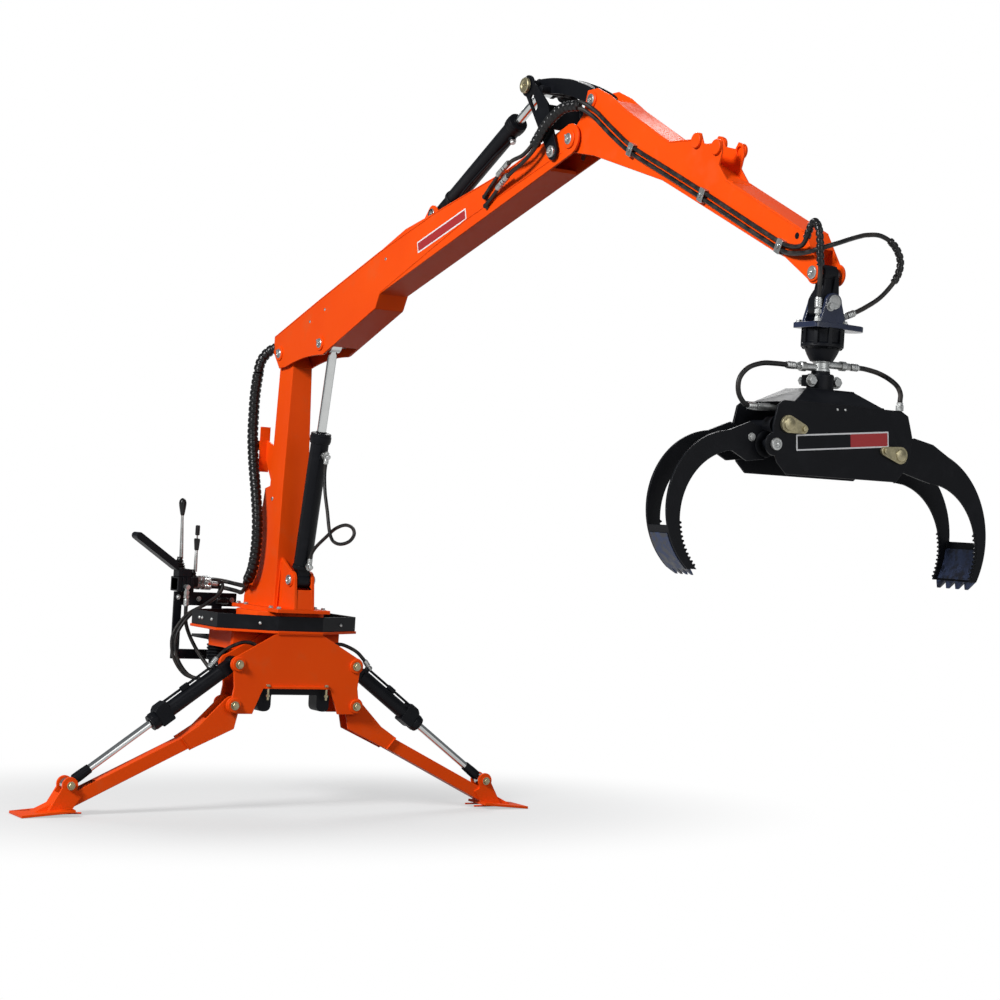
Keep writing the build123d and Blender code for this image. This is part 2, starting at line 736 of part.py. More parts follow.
# Grapple ram: its barrel is pinned in the body, its rod works the right tine's arm
ram_foot = (-150, 997)
ram_head = (150, 1000)
ram_length = 236
ram_radius = 21
ram_rod_radius = 11
face_plane = Plane(origin=(0, -hang, 0), x_dir=(1, 0, 0), z_dir=(0, -1, 0))
with BuildPart() as grapple_barrel:
    with BuildSketch(Plane(origin=(ram_foot[0] + 24, -hang, ram_foot[1]), z_dir=(1, 0, 0))):
        Circle(ram_radius)
    extrude(amount=ram_length - 24)
    with BuildSketch(face_plane):
        with Locations(ram_foot):
            Circle(22)
        with Locations((ram_foot[0] + 16, ram_foot[1])):
            Rectangle(32, 36)
    extrude(amount=16, both=True)
    with BuildSketch(Plane(origin=(ram_foot[0] + 40, -hang, ram_foot[1]), z_dir=(1, 0, 0))):
        Circle(ram_rod_radius + seat_gap)
    extrude(amount=ram_length, mode=Mode.SUBTRACT)
    with BuildSketch(face_plane):
        with Locations(ram_foot):
            Circle(pin_radius + fit_gap)
    extrude(amount=30, both=True, mode=Mode.SUBTRACT)
save(grapple_barrel, "grapple_barrel")

with BuildPart() as grapple_rod:
    with BuildSketch(Plane(origin=(ram_foot[0] + 130, -hang, ram_foot[1]), z_dir=(1, 0, 0))):
        Circle(ram_rod_radius)
    extrude(amount=ram_head[0] - ram_foot[0] - 130 - 15)
    with BuildSketch(face_plane):
        with Locations((ram_head[0], ram_foot[1])):
            Circle(22)
            Circle(pin_radius + 2, mode=Mode.SUBTRACT)
    extrude(amount=16, both=True)
save(grapple_rod, "grapple_rod")

# Tines: columns are side, name, half spacing of its two plates, centre and radius of the outer arc,
# centre and radius of the inner arc, where the arcs end, and the corners of the arm that joins them to the pin
tine_rows = (
    (1, "right", right_tine_half, (306, 722), 243, (333, 690), 182, 338,
     ((tine_pin[0] - 30, tine_pin[1]), (tine_pin[0], tine_pin[1] + 36), (273, 990), (340, 977), (405, 943),
      (410, 862), (372, 868), (338, 872), (300, 880), (tine_pin[0], tine_pin[1] - 40))),
    (-1, "left", left_tine_half, (303, 770), 202, (286, 746), 176, 262,
     ((tine_pin[0] - 30, tine_pin[1]), (tine_pin[0], tine_pin[1] + 36), (256, 998), (330, 969), (340, 920),
      (310, 919), (262, 896), (tine_pin[0], tine_pin[1] - 40))),
)
for side, word, tine_half, outer_centre, outer_radius, inner_centre, inner_radius, arc_end, arm in tine_rows:
    with BuildPart() as tine:
        for inner in (tine_half, -tine_half):
            with BuildSketch(Plane(origin=(0, -hang - inner, 0), x_dir=(side, 0, 0), z_dir=(0, -side, 0))):
                with Locations(outer_centre):
                    Circle(outer_radius)
                with Locations(inner_centre):
                    Circle(inner_radius, mode=Mode.SUBTRACT)
                with Locations((0, 500)):
                    Rectangle(2 * arc_end, 1200, mode=Mode.SUBTRACT)
                with Locations((500, 300)):
                    Rectangle(1000, 2 * (tip_height - 300), mode=Mode.SUBTRACT)
                with BuildLine():
                    Polyline(*arm, arm[0])
                make_face()
                with Locations(tine_pin):
                    Circle(36)
                if side == 1:
                    bar_profile(tine_pin, ram_head, 20, 20, 20)
                with Locations(tine_pin):
                    Circle(pin_radius + fit_gap, mode=Mode.SUBTRACT)
            extrude(amount=plate / 2, both=True)
        with BuildSketch(Plane(origin=(0, -hang, 0), x_dir=(side, 0, 0), z_dir=(0, -side, 0))):
            with Locations(outer_centre):
                Circle(outer_radius)
                Circle(outer_radius - 10, mode=Mode.SUBTRACT)
            with Locations((500, 380)):
                Rectangle(1000, 2 * (tip_height - 380), mode=Mode.SUBTRACT)
            with Locations((500, tip_height + tip_sheet + 500)):
                Rectangle(1200, 1000, mode=Mode.SUBTRACT)
            with Locations((0, 700)):
                Rectangle(600, 1000, mode=Mode.SUBTRACT)
        extrude(amount=tine_half + plate / 2, both=True)
        if side == 1:
            for inner in (22, -right_tine_half):
                with BuildSketch(face_plane.offset(inner)):
                    with Locations(ram_head):
                        Circle(pin_radius - 1)
                extrude(amount=right_tine_half - 22)
    save(tine, "tine_" + word)

# Slew motor under the back of the deck
motor_spot = (-150, 206)
motor_radius = 48
motor_drop = 150
with BuildPart() as slew_motor:
    with BuildSketch(Plane.XY.offset(base_top - motor_drop)):
        with Locations(motor_spot):
            Circle(motor_radius)
    extrude(amount=motor_drop)
save(slew_motor, "slew_motor")

# Control stand behind the guard ring: columns are the low x, high x, low z and high z of each bar
stand_front = 312
stand_thick = 12
stand_top = 352
stand_bars = ((-302, -270, 120, 352), (-302, -40, 300, 352), (-140, -100, 92, 352), (-302, -100, 92, 130))
brace_width = 18
with BuildPart() as control_stand:
    for low_x, high_x, low_z, high_z in stand_bars:
        with BuildSketch(Plane.XY.offset(low_z)):
            with Locations(((low_x + high_x) / 2, stand_front + stand_thick / 2)):
                Rectangle(high_x - low_x, stand_thick)
        extrude(amount=high_z - low_z)
    with BuildSketch(Plane.XY.offset(180)):
        for spot in (-pedestal_half + brace_width / 2, -70):
            with Locations((spot, (stand_front - pedestal_back) / 2)):
                Rectangle(brace_width, stand_front + pedestal_back)
    extrude(amount=12)
    with BuildSketch(Plane.XY.offset(180)):
        with Locations(((-pedestal_half - 50) / 2, stand_front - 8)):
            Rectangle(pedestal_half - 50, 16)
    extrude(amount=12)
save(control_stand, "control_stand")

# Valve bank on the stand, and the levers that work it
bank_low_x = -298
bank_high_x = -150
bank_depth = 78
bank_height = 58
bank_y = stand_front + 18
cap_height = 70
with BuildPart() as valve_bank:
    with BuildSketch(Plane.XY.offset(stand_top)):
        with Locations(((bank_low_x + bank_high_x) / 2, bank_y)):
            Rectangle(bank_high_x - bank_low_x, bank_depth)
    extrude(amount=bank_height)
    with BuildSketch(Plane.XY.offset(stand_top + bank_height)):
        with Locations((bank_low_x + 34, bank_y)):
            Rectangle(62, 56)
    extrude(amount=cap_height)
save(valve_bank, "valve_bank")

# Levers: columns are x, foot height, rod length and knob length
lever_rows = ((-282, 480, 160, 75), (-212, 456, 60, 96))
lever_rod_radius = 7
knob_radius = 14
with BuildPart() as control_levers:
    for spot, foot, rod_length, knob in lever_rows:
        with BuildSketch(Plane.XY.offset(foot)):
            with Locations((spot, bank_y)):
                Circle(lever_rod_radius)
        extrude(amount=rod_length)
        with BuildSketch(Plane.XY.offset(foot + rod_length)):
            with Locations((spot, bank_y)):
                Circle(knob_radius)
        extrude(amount=knob)
    with BuildSketch(Plane.XY.offset(lever_rows[1][1] - 16)):
        with Locations(((bank_low_x + 65 + lever_rows[1][0] + 12) / 2, bank_y)):
            Rectangle(lever_rows[1][0] + 12 - bank_low_x - 65, 24)
    extrude(amount=16)
save(control_levers, "control_levers")

# Hand guard: a bent flat bar out from the valve bank
guard_tip = (-462, 560)
guard_root = (bank_low_x + 3, 448)
with BuildPart() as hand_guard:
    with BuildSketch(Plane(origin=(0, bank_y, 0), x_dir=(1, 0, 0), z_dir=(0, -1, 0))):
        middle = ((guard_tip[0] + guard_root[0]) / 2, (guard_tip[1] + guard_root[1]) / 2)
        with Locations(middle):
            SlotOverall(math.dist(guard_tip, guard_root) + 28, 28, rotation=slope(guard_root, guard_tip))
        with Locations((bank_low_x + 102.7, guard_root[1])):
            Rectangle(200, 200, mode=Mode.SUBTRACT)
    extrude(amount=28, both=True)
save(hand_guard, "hand_guard")

# Ports, unions and brackets that hold the hoses
port_gap = 0.3
lift_lean = slope(lift_foot_pin, lift_head_pin)
lift_dir = (math.cos(math.radians(lift_lean)), math.sin(math.radians(lift_lean)))


def beside_lift(along, out):
    """Point at a distance along the lift ram and a distance out in front of it."""
    return (lift_foot_pin[0] + lift_dir[0] * along + lift_dir[1] * out,
            lift_foot_pin[1] + lift_dir[1] * along - lift_dir[0] * out)


port_block = 20
lift_port_rows = ((478, 82), (72, 66))
with BuildPart() as lift_ports:
    with BuildSketch(SIDE):
        for along, reach in lift_port_rows:
            out = lift_barrel_radius + port_gap
            with Locations(beside_lift(along, (out + reach) / 2)):
                Rectangle(port_block, reach - out, rotation=lift_lean)
    extrude(amount=port_block / 2, both=True)
save(lift_ports, "lift_ports")

shaft_radius = 25
edge_port_x = 201
edge_port_height = 20
with BuildPart() as grapple_ports:
    for side, start, height in ((-1, 70, 1157), (1, 80, 1168)):
        with BuildSketch(Plane(origin=(side * (shaft_radius + port_gap), -hang, height), z_dir=(side, 0, 0))):
            Circle(10)
        extrude(amount=start - shaft_radius - port_gap)
    with BuildSketch(face_plane):
        with Locations((-163, grapple_shoulder - port_gap - 16)):
            Rectangle(50, 32)
    extrude(amount=10, both=True)
    with BuildSketch(face_plane.offset(body_gap_half)):
        with Locations((edge_port_x, grapple_shoulder + port_gap + edge_port_height / 2)):
            Rectangle(16, edge_port_height)
    extrude(amount=16)
save(grapple_ports, "grapple_ports")

with BuildPart() as boom_ports:
    for reach, height, turn in ((1461, 1717, 31), (1453, 1746, 37.9)):
        with BuildSketch(SIDE.offset(boom_half + port_gap)):
            with Locations((reach, height)):
                Rectangle(20, 18, rotation=turn)
        extrude(amount=18)
save(boom_ports, "boom_ports")

with BuildPart() as valve_ports:
    for spot_y, height in ((332, 400), (330, 378)):
        with BuildSketch(Plane(origin=(bank_high_x + port_gap, spot_y, height), z_dir=(1, 0, 0))):
            Circle(10.5)
        extrude(amount=-140 - bank_high_x - port_gap)
save(valve_ports, "valve_ports")

# Hose bracket: a gusset on the back of the post, an upright flat bar, and the block that grips the bundle
bar_spot = 110
bar_low = 832
bar_high = 1005
with BuildPart() as hose_bracket:
    with BuildSketch(SIDE.offset(38)):
        with BuildLine():
            Polyline((post_back - port_gap, 783), (post_back - port_gap, 932), (-bar_spot, 955), (-bar_spot, 880),
                     (post_back - port_gap, 783))
        make_face()
    extrude(amount=8)
    with BuildSketch(Plane.XY.offset(bar_low)):
        with Locations((-54, bar_spot)):
            Rectangle(41, 6)
    extrude(amount=bar_high - bar_low)
    with BuildSketch(Plane.XY.offset(915)):
        with Locations((-67, bar_spot + 15)):
            Rectangle(15, 32)
    extrude(amount=36)
save(hose_bracket, "hose_bracket")

# Hydraulic hoses, held between their fittings: each row is a radius and the points of the line
hose_radius = 8
small_hose_radius = 6.5
stick_hose_x = -(stick_half + seat_gap + small_hose_radius)
hose_top = beside_lift(lift_port_rows[0][0] - port_block / 2 - port_gap, lift_port_rows[0][1] - 11)
hose_end = beside_lift(lift_port_rows[1][0] + port_block / 2 + port_gap, lift_port_rows[1][1] - 11)
bundle_radius = 22
hose_table = {
    "column_hoses": ((bundle_radius, ((-97, 112, 1216), (-97, 136, 1130), (-97, 134, 1040), (-97, 128, 950),
                                      (-97, 104, 850), (-97, 66, 745), (-97, 36, 640), (-97, 34, 540),
                                      (-97, 62, 450), (-97, 118, 404))),),
    "valve_hoses": ((hose_radius, ((-139.7, 332, 400), (-105, 332, 400), (-70, 320, 394), (-42, 300, 388))),
                    (hose_radius, ((-139.7, 330, 378), (-105, 330, 378), (-70, 318, 372), (-42, 298, 367)))),
    "lift_hose": ((small_hose_radius, ((0, -hose_top[0], hose_top[1]), (0, -hose_top[0] + 9.3, hose_top[1] - 51),
                                       (-2, -322, 758), (-4, -352, 690),
                                       (-6, -378, 622), (-8, -424, 574), (-4, -488, 564), (4, -540, 598),
                                       (10, -528, 648), (12, -462, 670), (12, -372, 644), (8, -296, 588),
                                       (0, -hose_end[0] - 9, hose_end[1] + 49.5), (0, -hose_end[0], hose_end[1]))),),
    "stick_hoses": ((small_hose_radius, ((stick_hose_x, -2090, 1944), (stick_hose_x, -2168, 1896), (stick_hose_x, -2278, 1830),
                                         (stick_hose_x, -2649, 1662), (stick_hose_x, -3015, 1492))),
                    (small_hose_radius, ((stick_hose_x, -2084, 1926), (stick_hose_x, -2160, 1878), (stick_hose_x, -2270, 1814),
                                         (stick_hose_x, -2641, 1646), (stick_hose_x, -3007, 1476)))),
    "boom_hoses": ((small_hose_radius, ((-66, -1470.1, 1722.5), (-66, -1520, 1752.5), (-78, -1590, 1784),
                                        (-90, -1660, 1806), (-96, -1730, 1846))),
                   (small_hose_radius, ((-66, -1461.4, 1752.5), (-66, -1515, 1794.2), (-78, -1590, 1828),
                                        (-90, -1662, 1846), (-96, -1736, 1882)))),
    "grapple_hoses": ((small_hose_radius, ((-70.3, -3151, 1157), (-196, -3151, 1157), (-258, -3151, 1132),
                                           (-272, -3151, 1090), (-250, -3151, 1041), (-188.3, -3151, 1041))),
                      (small_hose_radius, ((80.3, -3151, 1168), (150, -3151, 1168), (198, -3167, 1158),
                                           (220, -3202, 1134), (edge_port_x, -3241, 1108),
                                           (edge_port_x, -3241, grapple_shoulder + 20.6)))),
}


def hose_line(points):
    """Straight runs joined by arcs, each as large as its two runs allow."""
    spots = [Vector(*point) for point in points]
    radii = []
    for before, corner, after in zip(spots, spots[1:], spots[2:]):
        run = min((corner - before).length, (after - corner).length)
        turn = (corner - before).get_angle(after - corner)
        radii.append(0.45 * run / math.tan(math.radians(turn / 2)))
    return spots, radii


for name, rows in hose_table.items():
    with BuildPart() as hoses:
        for radius, points in rows:
            spots, radii = hose_line(points)
            with BuildLine() as route:
                FilletPolyline(*spots, radius=radii)
            with BuildSketch(Plane(origin=spots[0], z_dir=spots[1] - spots[0])):
                Circle(radius)
            sweep(path=route.wires()[0])
            print(name, "radii", [round(value) for value in radii], "length", round(route.wires()[0].length))
    whole = sum(solid.volume for solid in hoses.part.solids())
    print(name, "volume", round(whole))
    save(hoses, name)
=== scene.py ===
import json
import math

import bmesh
import bpy
import numpy as np
from mathutils import Matrix, Vector

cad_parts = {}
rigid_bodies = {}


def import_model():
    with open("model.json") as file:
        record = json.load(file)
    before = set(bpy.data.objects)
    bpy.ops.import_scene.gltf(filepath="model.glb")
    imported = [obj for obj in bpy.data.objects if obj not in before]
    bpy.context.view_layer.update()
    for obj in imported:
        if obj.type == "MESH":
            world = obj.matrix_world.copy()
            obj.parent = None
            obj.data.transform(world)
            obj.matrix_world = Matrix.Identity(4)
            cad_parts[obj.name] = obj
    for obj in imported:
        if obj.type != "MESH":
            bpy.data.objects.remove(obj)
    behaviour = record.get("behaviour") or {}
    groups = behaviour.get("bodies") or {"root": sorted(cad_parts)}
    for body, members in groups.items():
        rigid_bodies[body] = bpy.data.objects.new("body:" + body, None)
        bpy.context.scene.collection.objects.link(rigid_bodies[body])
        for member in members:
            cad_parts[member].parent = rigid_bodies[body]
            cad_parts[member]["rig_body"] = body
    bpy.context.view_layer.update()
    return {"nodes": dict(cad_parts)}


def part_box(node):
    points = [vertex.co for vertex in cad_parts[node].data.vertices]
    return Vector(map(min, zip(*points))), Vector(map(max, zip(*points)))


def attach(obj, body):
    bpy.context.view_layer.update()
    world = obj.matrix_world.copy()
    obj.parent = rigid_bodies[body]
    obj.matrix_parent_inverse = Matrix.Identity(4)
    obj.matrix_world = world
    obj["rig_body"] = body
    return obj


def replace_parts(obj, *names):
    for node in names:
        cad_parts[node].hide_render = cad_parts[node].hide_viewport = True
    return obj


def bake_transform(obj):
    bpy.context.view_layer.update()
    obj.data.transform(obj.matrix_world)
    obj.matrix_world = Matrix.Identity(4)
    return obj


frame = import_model()

# Studio: a pale floor that keeps a soft shadow under the crane and fades into a white backdrop.
# One large soft lamp stands high on the left, a weaker one fills from the front and one lights the rear.
# The camera stands at about chest height in front of the left leg.
MM = 0.001


def colour(red, green, blue):
    """Display colour, 0 to 255, as the linear light that the shader works in."""
    share = np.array((red, green, blue)) / 255
    linear = np.where(share <= 0.04045, share / 12.92, ((share + 0.055) / 1.055) ** 2.4)
    return (*linear.tolist(), 1.0)


class Value:
    """A shader socket on which + and * add Math nodes."""

    def __init__(self, finish, socket):
        self.finish = finish
        self.socket = socket

    def maths(self, operation, other):
        return self.finish.add("ShaderNodeMath", {"operation": operation}, {0: self, 1: other})

    def __add__(self, other):
        return self.maths("ADD", other)

    def __mul__(self, other):
        return self.maths("MULTIPLY", other)

    def above(self, edge, soft):
        """0 below the edge, 1 above it, with a ramp of the given width."""
        ramp = {0: self, 1: edge - soft / 2, 2: edge + soft / 2}
        return self.finish.add("ShaderNodeMapRange", {"interpolation_type": "SMOOTHSTEP"}, ramp)

    __radd__ = __add__
    __rmul__ = __mul__


class Finish:
    """One node material, built from expressions on its sockets."""

    def __init__(self, name):
        self.material = bpy.data.materials.new(name)
        self.material.use_nodes = True
        self.tree = self.material.node_tree
        self.shader = self.tree.nodes["Principled BSDF"]
        self.output = self.tree.nodes["Material Output"]

    def add(self, kind, settings=None, inputs=None, output=0):
        """A node of a kind: settings first, then the values or links of its sockets."""
        node = self.tree.nodes.new(kind)
        for key, value in (settings or {}).items():
            setattr(node, key, value)
        for key, value in (inputs or {}).items():
            self.link(node.inputs[key], value)
        return Value(self, node.outputs[output])

    def link(self, target, value):
        if isinstance(value, Value):
            self.tree.links.new(value.socket, target)
        else:
            target.default_value = value

    def place(self, stretch=(1, 1, 1)):
        """Object coordinates, stretched along the axes."""
        spot = self.add("ShaderNodeTexCoord", output="Object")
        return self.add("ShaderNodeMapping", inputs={"Vector": spot, "Scale": stretch})

    def noise(self, size, detail=2.0, stretch=(1, 1, 1)):
        """Soft noise from 0 to 1 whose blobs are about size metres across."""
        inputs = {"Vector": self.place(stretch), "Scale": 1 / size, "Detail": detail}
        return self.add("ShaderNodeTexNoise", inputs=inputs)

    def blend(self, factor, low, high):
        """Colour between low and high."""
        return self.add("ShaderNodeMix", {"data_type": "RGBA"}, {0: factor, 6: low, 7: high}, 2)

    def relief(self, height, depth):
        """Normal from a height in 0 to 1, depth in metres."""
        return self.add("ShaderNodeBump", inputs={"Height": height, "Distance": depth, "Strength": 1.0})

    def set(self, **inputs):
        for key, value in inputs.items():
            self.link(self.shader.inputs[key.replace("_", " ")], value)
        return self.material


ground_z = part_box("leg_left")[0].z
floor_reach = 30.0
floor_mesh = bpy.data.meshes.new("studio_floor")
corners = [(-floor_reach, -floor_reach, ground_z), (floor_reach, -floor_reach, ground_z),
           (floor_reach, floor_reach, ground_z), (-floor_reach, floor_reach, ground_z)]
floor_mesh.from_pydata(corners, [], [(0, 1, 2, 3)])
floor = bpy.data.objects.new("studio_floor", floor_mesh)
bpy.context.scene.collection.objects.link(floor)
pale = Finish("pale_floor")
pale.set(Base_Color=(0.58, 0.58, 0.58, 1), Roughness=0.9, Specular_IOR_Level=0.1)
rays = pale.tree.nodes.new("ShaderNodeLightPath")
seen = Value(pale, rays.outputs["Is Camera Ray"]) + Value(pale, rays.outputs["Is Glossy Ray"])
seen = seen + Value(pale, rays.outputs["Is Transmission Ray"])
# the shadow's patch of floor is an oval under the crane, and round it the floor fades to white
shadow_oval = (0.75, 1.3, 0)
shadow_reach, shadow_fade = 1.25, 1.3
away = pale.add("ShaderNodeVectorMath", {"operation": "LENGTH"}, {0: pale.place(shadow_oval)}, 1)
away = away.above(shadow_reach, shadow_fade)
white = pale.add("ShaderNodeEmission", inputs={"Color": (1, 1, 1, 1), "Strength": 1.0})
lit = Value(pale, pale.shader.outputs["BSDF"])
# only the camera and mirrors see the pale floor: the light that it sends back up is weaker
dim = pale.add("ShaderNodeBsdfDiffuse", inputs={"Color": (0.1, 0.1, 0.1, 1)})
near = pale.add("ShaderNodeMixShader", inputs={0: seen, 1: dim, 2: lit})
mixed = pale.add("ShaderNodeMixShader", inputs={0: seen * (0.5 + 0.5 * away), 1: near, 2: white})
pale.link(pale.output.inputs["Surface"], mixed)
floor_mesh.materials.append(pale.material)

world = bpy.data.worlds.new("soft_room")
bpy.context.scene.world = world
world.use_nodes = True
sky = world.node_tree.nodes["Background"]
sky.inputs["Color"].default_value = (0.9, 0.95, 1.0, 1)
sky.inputs["Strength"].default_value = 0.22
backdrop = world.node_tree.nodes.new("ShaderNodeBackground")
backdrop.inputs["Color"].default_value = (1, 1, 1, 1)
path = world.node_tree.nodes.new("ShaderNodeLightPath")
either = world.node_tree.nodes.new("ShaderNodeMixShader")
world.node_tree.links.new(path.outputs["Is Camera Ray"], either.inputs[0])
world.node_tree.links.new(sky.outputs[0], either.inputs[1])
world.node_tree.links.new(backdrop.outputs[0], either.inputs[2])
world.node_tree.links.new(either.outputs[0], world.node_tree.nodes["World Output"].inputs["Surface"])

# name, place, power in watts, size in metres
lamps = (("key", (-7.6, -3.2, 5.4), 930, 2.0), ("front", (0.5, -8.8, 3.4), 175, 5.0),
         ("rear", (3.5, 4.0, 5.0), 210, 3.0))
aim = Vector((0, -1.4, 0.7))
for name, place, power, size in lamps:
    lamp = bpy.data.lights.new(name, "AREA")
    lamp.energy = power
    lamp.size = size
    stand = bpy.data.objects.new(name, lamp)
    turn = (aim - Vector(place)).to_track_quat("-Z", "Y").to_matrix().to_4x4()
    stand.matrix_world = Matrix.Translation(place) @ turn
    bpy.context.scene.collection.objects.link(stand)

camera = bpy.data.objects.new("camera", bpy.data.cameras.new("camera"))
camera.data.lens = 82.43
camera.data.sensor_width = 36
view = Matrix.Identity(4)
camera_right, camera_up = (0.85254, -0.51932, 0.05900), (-0.05385, 0.02501, 0.99824)
camera_back, camera_place = (-0.51988, -0.85421, -0.00665), (-3.8482, -7.8859, 0.7194)
for column, values in enumerate((camera_right, camera_up, camera_back, camera_place)):
    view.col[column][:3] = values
camera.matrix_world = view
bpy.context.scene.collection.objects.link(camera)
bpy.context.scene.camera = camera
bpy.context.scene.view_settings.view_transform = "Standard"

# Base: two upright flame-cut steel plates with a box, deck and saddle between them, welded and painted.
# The plates keep their cut outline, and their edges are broken before paint.
# The saddle clamp is black and is held by a long bolt at each end of the front plate's lip.


def orange_enamel():
    """Glossy orange enamel: orange peel, slow drifts of tone, thin dust in the lows."""
    coat = Finish("orange_enamel")
    drift = coat.noise(0.35, 3)
    fine = coat.noise(0.02, 3)
    tone = coat.blend(drift, colour(228, 66, 8), colour(242, 84, 12))
    dust = coat.noise(0.09, 5).above(0.66, 0.2) * 0.16
    tone = coat.blend(dust, tone, colour(190, 104, 60))
    peel = coat.noise(0.004, 1)
    return coat.set(Base_Color=tone, Roughness=0.36 + 0.12 * fine + 0.1 * dust, Specular_IOR_Level=0.08,
                    Coat_Weight=0.02, Coat_Roughness=0.15, Normal=coat.relief(peel, 0.00012))


def black_enamel():
    """Satin black, its colours tinted blue as a painted cool sheen, with a breath of dust."""
    coat = Finish("black_enamel")
    drift = coat.noise(0.25, 3)
    dust = coat.noise(0.05, 6).above(0.62, 0.3) * 0.3
    # the blue tint of both colours is painted sheen; the drift between them is random tone
    tone = coat.blend(drift, colour(6, 7, 10), colour(12, 14, 20))
    tone = coat.blend(dust, tone, colour(32, 33, 37))
    peel = coat.noise(0.004, 1)
    return coat.set(Base_Color=tone, Roughness=0.42 + 0.12 * drift + 0.2 * dust, Specular_IOR_Level=0.12,
                    Coat_Weight=0.02, Coat_Roughness=0.2, Normal=coat.relief(peel, 0.00012))


def plated(name, low, high):
    """Zinc plate: dull crystals and darker stains."""
    coat = Finish(name)
    crystal = coat.noise(0.006, 4)
    stain = coat.noise(0.03, 3).above(0.55, 0.3)
    tone = coat.blend(crystal, low, high)
    tone = coat.blend(stain * 0.35, tone, (0.12, 0.11, 0.09, 1))
    return coat.set(Base_Color=tone, Metallic=0.85, Roughness=0.26 + 0.2 * crystal,
                    Normal=coat.relief(crystal, 0.00008))


ORANGE = orange_enamel()
BLACK = black_enamel()
YELLOW_ZINC = plated("yellow_zinc", (0.26, 0.22, 0.12, 1), (0.52, 0.47, 0.3, 1))
SLOT_OF = {ORANGE: "orange_paint", BLACK: "black_paint", YELLOW_ZINC: "zinc"}
BEVEL_ANGLE = math.radians(32)
SMOOTH_ANGLE = math.radians(38)


def finish_mesh(thing, body, paint, edge):
    """Gives a mesh object its paint, soft shading, broken edges and body."""
    thing.data.materials.clear()
    thing.data.materials.append(paint)
    thing.data.polygons.foreach_set("use_smooth", [True] * len(thing.data.polygons))
    thing.data.set_sharp_from_angle(angle=SMOOTH_ANGLE)
    if edge:
        bevel = thing.modifiers.new("broken_edge", "BEVEL")
        bevel.width = edge * MM
        bevel.segments = 2
        bevel.limit_method = "ANGLE"
        bevel.angle_limit = BEVEL_ANGLE
        bevel.use_clamp_overlap = False
        bevel.harden_normals = True
    if body:
        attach(thing, body)
    return thing


def dress(node, paint, edge=1.6):
    """The CAD node's own shape with its flat facets joined and its edges broken."""
    source = frame["nodes"][node]
    mesh = source.data.copy()
    mesh.name = node + "_dressed"
    work = bmesh.new()
    work.from_mesh(mesh)
    bmesh.ops.remove_doubles(work, verts=work.verts, dist=2e-5)
    bmesh.ops.dissolve_limit(work, angle_limit=math.radians(0.7), verts=work.verts, edges=work.edges)
    work.to_mesh(mesh)
    work.free()
    thing = bpy.data.objects.new(node + "_dressed", mesh)
    bpy.context.scene.collection.objects.link(thing)
    finish_mesh(thing, source["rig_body"], paint, edge)
    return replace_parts(thing, node)


def repaint(nodes, paint):
    """Keeps CAD nodes as they are and gives them a better material."""
    for node in nodes:
        frame["nodes"][node].data.materials.clear()
        frame["nodes"][node].data.materials.append(paint)


def surface(grid, wrap=True, caps=True):
    """Part from a grid of rings by sides, in mm: quads between neighbours, and a face at each end.
    The map run holds (share round, metres along)."""
    rings, sides = grid.shape[:2]
    i, j = np.meshgrid(np.arange(rings - 1), np.arange(sides if wrap else sides - 1), indexing="ij")
    k = (j + 1) % sides
    quads = np.stack([i * sides + j, i * sides + k, (i + 1) * sides + k, (i + 1) * sides + j],
                     -1).reshape(-1, 4)
    step = np.linalg.norm(np.diff(grid.mean(1), axis=0), axis=1)
    along = np.concatenate([[0], np.cumsum(step)]) * MM
    round_ = np.stack([j, j + 1, j + 1, j], -1) / sides
    runs = np.stack([along[i], along[i], along[i + 1], along[i + 1]], -1)
    run = np.stack([round_, runs], -1).reshape(-1, 2)
    faces = quads.tolist()
    if caps:
        faces += [list(range(sides))[::-1], list(range((rings - 1) * sides, rings * sides))]
        run = np.concatenate([run, np.zeros((2 * sides, 2))])
    return grid.reshape(-1, 3), faces, run


def basis(axis):
    """Two unit vectors square to an axis and to each other, and the axis itself."""
    axis = np.array(axis, float) / np.linalg.norm(axis)
    spare = np.array((0.0, 0.0, 1.0)) if abs(axis[2]) < 0.9 else np.array((0.0, 1.0, 0.0))
    first = np.cross(spare, axis)
    first /= np.linalg.norm(first)
    return first, np.cross(axis, first), axis


LEFT, RIGHT = (-1, 0, 0), (1, 0, 0)
FRONT, BACK = (0, -1, 0), (0, 1, 0)
DOWN, UP = (0, 0, -1), (0, 0, 1)


def turned(origin, axis, profile, sides=28, phase=0.0):
    """Turned part: each (along, radius) of the profile becomes a circle about the axis."""
    first, second, axis = basis(axis)
    along, radius = np.array(profile, float).T
    turn = (np.arange(sides) / sides + phase) * math.tau
    ring = np.cos(turn)[:, None] * first + np.sin(turn)[:, None] * second
    centres = np.array(origin, float) + along[:, None, None] * axis
    return surface(centres + radius[:, None, None] * ring[None])


def rod(origin, axis, radius, length, sides=28):
    """Plain turned rod with flat ends."""
    return turned(origin, axis, [(0, 0), (0, radius), (length, radius), (length, 0)], sides)


def rounded(corners, radius, steps=5):
    """Closed outline whose corners become arcs: on each corner a quadratic curve joins points
    one radius away on its two sides, or less on short sides."""
    corners = np.array(corners, float)
    back = np.roll(corners, 1, 0) - corners
    ahead = np.roll(corners, -1, 0) - corners
    short = np.minimum(np.linalg.norm(back, axis=1), np.linalg.norm(ahead, axis=1)) * 0.48
    reach = np.minimum(np.broadcast_to(radius, short.shape), short)[:, None]
    first = corners + back / np.linalg.norm(back, axis=1)[:, None] * reach
    last = corners + ahead / np.linalg.norm(ahead, axis=1)[:, None] * reach
    t = np.linspace(0, 1, steps)[None, :, None]
    curve = first[:, None] * (1 - t) ** 2 + corners[:, None] * 2 * t * (1 - t) + last[:, None] * t ** 2
    return curve.reshape(-1, 2)


